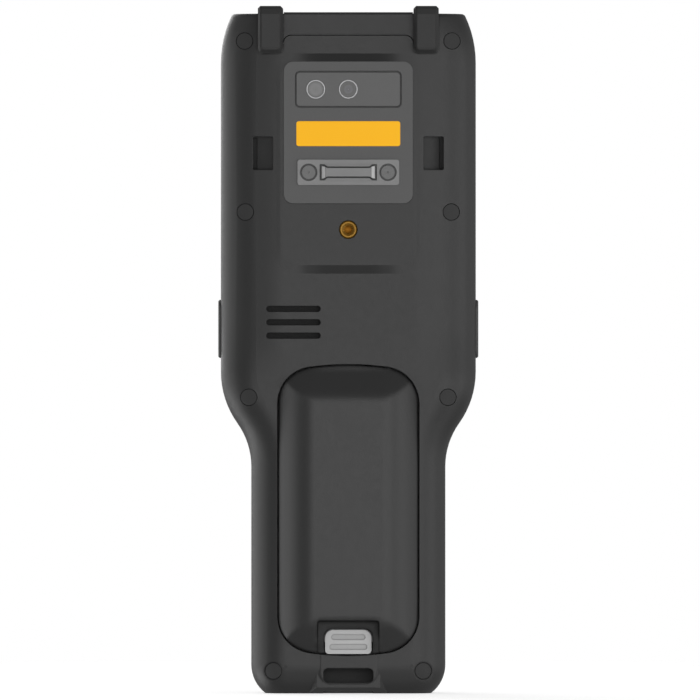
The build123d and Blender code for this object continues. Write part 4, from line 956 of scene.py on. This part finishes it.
# Flanks and tooth: where the four corners of the ridge lie across it in pitches, and how high
threadSettings = {
    "pitch": 0.0005, "depth": 0.00026, "radius": 0.00149, "perTurn": 40, "margin": 0.0005,
    "flanks": (-0.46, -0.10, 0.10, 0.46), "tooth": (0.0, 1.0, 1.0, 0.0), "runOut": 1.2, "thinnest": 0.02,
}


def makeThread(settings):
    # Ridge that winds round Y: angle a along it and a triangle across it, cut flat at its top and thinner
    # at both ends, radius = R - depth * tooth * taper, y = y0 + pitch (a / 2 pi + 1 / 2) + across
    low, high, middle = boxOf("grip_insert")
    start, end = low.y + settings["margin"], high.y - settings["margin"] / 2
    turns = (end - start) / settings["pitch"] - 1
    angles = np.linspace(0, 2 * np.pi * turns, int(settings["perTurn"] * turns))
    across = np.array(settings["flanks"]) * settings["pitch"]
    taper = np.minimum(angles, angles[-1] - angles) / settings["runOut"]
    taper = np.clip(taper, settings["thinnest"], 1)
    turn, _ = np.meshgrid(angles, across, indexing="ij")
    reach = settings["radius"] - settings["depth"] * np.outer(taper, settings["tooth"])
    along = start + settings["pitch"] * (turn / (2 * np.pi) + 0.5) + across[None, :]
    points = np.stack([middle.x + reach * np.cos(turn), along, middle.z + reach * np.sin(turn)], axis=-1)
    thread = meshPiece("insertThread", points.reshape(-1, 3), stripFaces(len(angles), 4), smooth=False)
    outwards(thread)
    thread.data.materials.append(bpy.data.materials["brass"])
    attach(thread, "housing")


# The floor's edge lies inside the foot of the thread, by a share of the thread's depth
insertFloorSettings = {
    "inset": 0.2, "height": 0.0009, "backShare": 0.2, "hollow": 0.0003, "rings": 9, "around": 40,
    "finish": {"colour": (0.37, 0.15, 0.010), "roughness": 0.55, "metallic": 0.8},
}


def makeInsertFloor(settings, thread):
    # Closed inner end of the insert: radius and angle on a polar grid, hollowed by the drill,
    # y = y0 + h (1 - (r / R)^2), with a flat back behind it
    _, high, middle = boxOf("grip_insert")
    radius = thread["radius"] - thread["depth"] * settings["inset"]
    radii = np.linspace(0, radius, settings["rings"])[1:]
    angles = np.linspace(0, 2 * np.pi, settings["around"], endpoint=False)
    ring, turn = np.meshgrid(radii, angles, indexing="ij")
    y = high.y - settings["height"] + settings["hollow"] * (1 - (ring / radii[-1]) ** 2)
    face = np.stack([middle.x + ring * np.cos(turn), y, middle.z + ring * np.sin(turn)], axis=-1)
    back = face[-1:].copy()
    back[..., 1] = high.y - settings["height"] * settings["backShare"]
    centre = (middle.x, high.y - settings["height"] + settings["hollow"], middle.z)
    points = np.vstack([np.concatenate([face, back]).reshape(-1, 3), [centre]])
    # The ring of the back comes last and is closed by one face
    faces = [*gridFaces(len(radii) + 1, len(angles)), range(len(radii) * len(angles), len(points) - 1)]
    floor = meshPiece("insertFloor", points, faces, capFan=True)
    outwards(floor)
    floor.data.materials.append(metalFinish("drilledBrass", **settings["finish"]))
    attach(floor, "housing")


springSettings = {"wire": 0.0004, "folds": 6, "travel": 0.0020, "runPoints": 5, "turnPoints": 13}


def makeLatchSpring(settings):
    # Flat wire spring: straight runs z = z0 + k step joined by half circles of radius step / 2,
    # a section of four corners carried along that line
    low, high, middle = boxOf("latch_spring")
    wire, folds = settings["wire"], settings["folds"]
    step = (high.z - low.z - wire) / folds
    reach = (high.x - low.x) / 2 - wire / 2 - step / 2
    run = np.linspace(-reach, reach, settings["runPoints"])
    turn = np.radians(np.linspace(-90, 90, settings["turnPoints"])[1:-1])
    line = []
    for fold in range(folds + 1):
        side, height = (-1) ** fold, low.z + wire / 2 + fold * step
        line.append(np.stack([side * run, 0 * run + height], axis=-1))
        if fold < folds:
            arc = [side * (reach + step / 2 * np.cos(turn)), height + step / 2 * (1 + np.sin(turn))]
            line.append(np.stack(arc, axis=-1))
    line = np.vstack(line)
    ahead = np.gradient(line, axis=0)
    ahead /= np.linalg.norm(ahead, axis=1, keepdims=True)
    beside = np.stack([-ahead[:, 1], ahead[:, 0]], axis=-1) * wire / 2
    # Corners of the section, as the side of the line and the depth
    corners = [(1, low.y), (-1, low.y), (-1, high.y), (1, high.y)]
    edges = [(line + side * beside, y) for side, y in corners]
    edges = [np.stack([flat[:, 0] + middle.x, 0 * flat[:, 0] + y, flat[:, 1]], axis=-1) for flat, y in edges]
    points = np.stack(edges, axis=1).reshape(-1, 3)
    spring = meshPiece("foldedSpring", points, stripFaces(len(line), 4), smooth=False)
    outwards(spring)
    spring.data.materials.append(bpy.data.materials["springSteel"])
    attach(spring, "battery_pack")
    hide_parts("latch_spring")
    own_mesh(spring)


makeLedges(ledgeSettings)
makeThread(threadSettings)
makeInsertFloor(insertFloorSettings, threadSettings)
makeLatchSpring(springSettings)
print("bracket ledges, thread, insert floor and latch spring made")


markSettings = {
    "stand": 0.000015, "sink": 0.00002, "digitHeight": 0.0040, "curveSteps": 3,
    "white": grey(214), "amber": (0.85, 0.33, 0.02),
    "inkScale": 1800.0, "speckle": 0.14, "roughness": 0.5, "inkRough": 0.1,
}


def markFinish(name, colour, settings):
    # Printed ink, a little uneven
    finish = Finish(name)
    ink = finish.noise(settings["inkScale"], detail=3.0)
    return finish.surface({
        "Base Color": finish.toned(colour, 1 + (ink - 0.5) * settings["speckle"]),
        "Roughness": settings["roughness"] + (ink - 0.5) * settings["inkRough"],
    })


def placeMark(name, shape, key, material, settings):
    # A flat drawing (u, v) in metres as seen from the front, laid on the key's top and a little sunk in:
    # x = x0 - u, z = z0 + v, y = top + stand in front and top - sink behind
    drawn, faces = shape
    _, high, middle = boxOf(key)
    x, z = middle.x - drawn[:, 0], middle.z + drawn[:, 1]
    heights = (high.y + settings["stand"], high.y - settings["sink"])
    points = np.vstack([np.stack([x, 0 * x + y, z], axis=-1) for y in heights])
    count = len(drawn)
    # An edge that no other face runs along the other way lies on the border and gets a wall
    edges = [edge for face in faces for edge in zip(face, face[1:] + face[:1])]
    paired = set(edges)
    walls = [[b, a, a + count, b + count] for a, b in edges if (b, a) not in paired]
    backs = [[corner + count for corner in face[::-1]] for face in faces]
    mark = meshPiece(name, points, faces + backs + walls, smooth=False)
    outwards(mark)
    mark.data.materials.append(material)
    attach(mark, key + "_body")


def digitShape(text, settings):
    # A digit of the built-in font, filled, its middle at the origin, scaled to the wanted height
    curve = bpy.data.curves.new("digit", "FONT")
    curve.body = text
    curve.size = 1.0
    curve.resolution_u = settings["curveSteps"]
    holder = bpy.data.objects.new("digit", curve)
    bpy.context.collection.objects.link(holder)
    mesh = bpy.data.meshes.new_from_object(holder)
    points = np.empty(len(mesh.vertices) * 3)
    mesh.vertices.foreach_get("co", points)
    points = points.reshape(-1, 3)[:, :2]
    faces = [list(polygon.vertices) for polygon in mesh.polygons]
    low, high = points.min(axis=0), points.max(axis=0)
    points = (points - (low + high) / 2) * (settings["digitHeight"] / (high[1] - low[1]))
    bpy.data.objects.remove(holder)
    return points, faces


def barShape(x, y, width, height):
    # Corners at x - or + width / 2 and y - or + height / 2, in order round the bar
    signs = np.array([(-1, -1), (1, -1), (1, 1), (-1, 1)])
    return np.array((x, y)) + signs * (width / 2, height / 2), [[0, 1, 2, 3]]


def arcShape(radius, width, start, end, steps=28):
    # Flat ring or arc: angle a from start to end in degrees, two radii
    angles = np.radians(np.linspace(start, end, steps + 1))
    outer = np.stack([np.cos(angles), np.sin(angles)], axis=-1)
    points = np.vstack([outer * (radius - width / 2), outer * (radius + width / 2)])
    count = steps + 1
    return points, [[i, i + count, i + count + 1, i + 1] for i in range(steps)]


def outlineShape(*corners):
    # One face with the given corners in mm
    return np.array(corners, float) * mm, [list(range(len(corners)))]


def arrowShape(angle, size, back=0.6, half=0.9):
    # Triangle with its point at (size, 0) and its back at -back * size, turned by the angle in degrees
    corners = np.array([(size, 0), (-size * back, size * half), (-size * back, -size * half)])
    turn = math.radians(angle)
    spin = np.array([[math.cos(turn), math.sin(turn)], [-math.sin(turn), math.cos(turn)]])
    return corners @ spin, [[0, 1, 2]]


def joined(*shapes):
    points, faces, count = [], [], 0
    for shapePoints, shapeFaces in shapes:
        points.append(shapePoints)
        faces += [[i + count for i in face] for face in shapeFaces]
        count += len(shapePoints)
    return np.vstack(points), faces


markShapes = {
    "key_back": arrowShape(180, 1.1 * mm),
    "key_home": arcShape(1.0 * mm, 0.3 * mm, 0, 360),
    "key_menu": joined(*[barShape(0, step * 0.7 * mm, 2.2 * mm, 0.28 * mm) for step in (-1, 0, 1)]),
    "key_left": arrowShape(180, 1.5 * mm),
    "key_right": arrowShape(0, 1.5 * mm),
    "key_clear": outlineShape((-1.6, 0), (-0.7, -0.8), (1.4, -0.8), (1.4, 0.8), (-0.7, 0.8)),
    "key_enter": outlineShape(
        (-1.5, 0), (-0.7, -0.6), (-0.7, -0.17), (1.5, -0.17), (1.5, 1.2),
        (1.15, 1.2), (1.15, 0.17), (-0.7, 0.17), (-0.7, 0.6),
    ),
    "key_shift": arrowShape(90, 1.2 * mm),
    "key_power": joined(arcShape(1.15 * mm, 0.3 * mm, 125, 415), barShape(0, 0.95 * mm, 0.3 * mm, 1.2 * mm)),
    "key_tab": joined(arrowShape(0, 1.1 * mm), barShape(1.5 * mm, 0, 0.3 * mm, 2.0 * mm)),
}
flaggedOne = outlineShape((-0.1, -2), (0.5, -2), (0.5, 2), (0.0, 2), (-1.0, 1.3), (-1.0, 0.65), (-0.1, 1.2))


def makeMarks(settings):
    white = markFinish("markWhite", settings["white"], settings)
    amber = markFinish("markAmber", settings["amber"], settings)
    for digit in "0123456789":
        shape = flaggedOne if digit == "1" else digitShape(digit, settings)
        placeMark("digit_" + digit, shape, "key_" + digit, white, settings)
    for key, shape in markShapes.items():
        material = amber if key in ("key_clear", "key_power") else white
        placeMark(key.replace("key_", "mark_"), shape, key, material, settings)


makeMarks(markSettings)
print("marks on the keys made")
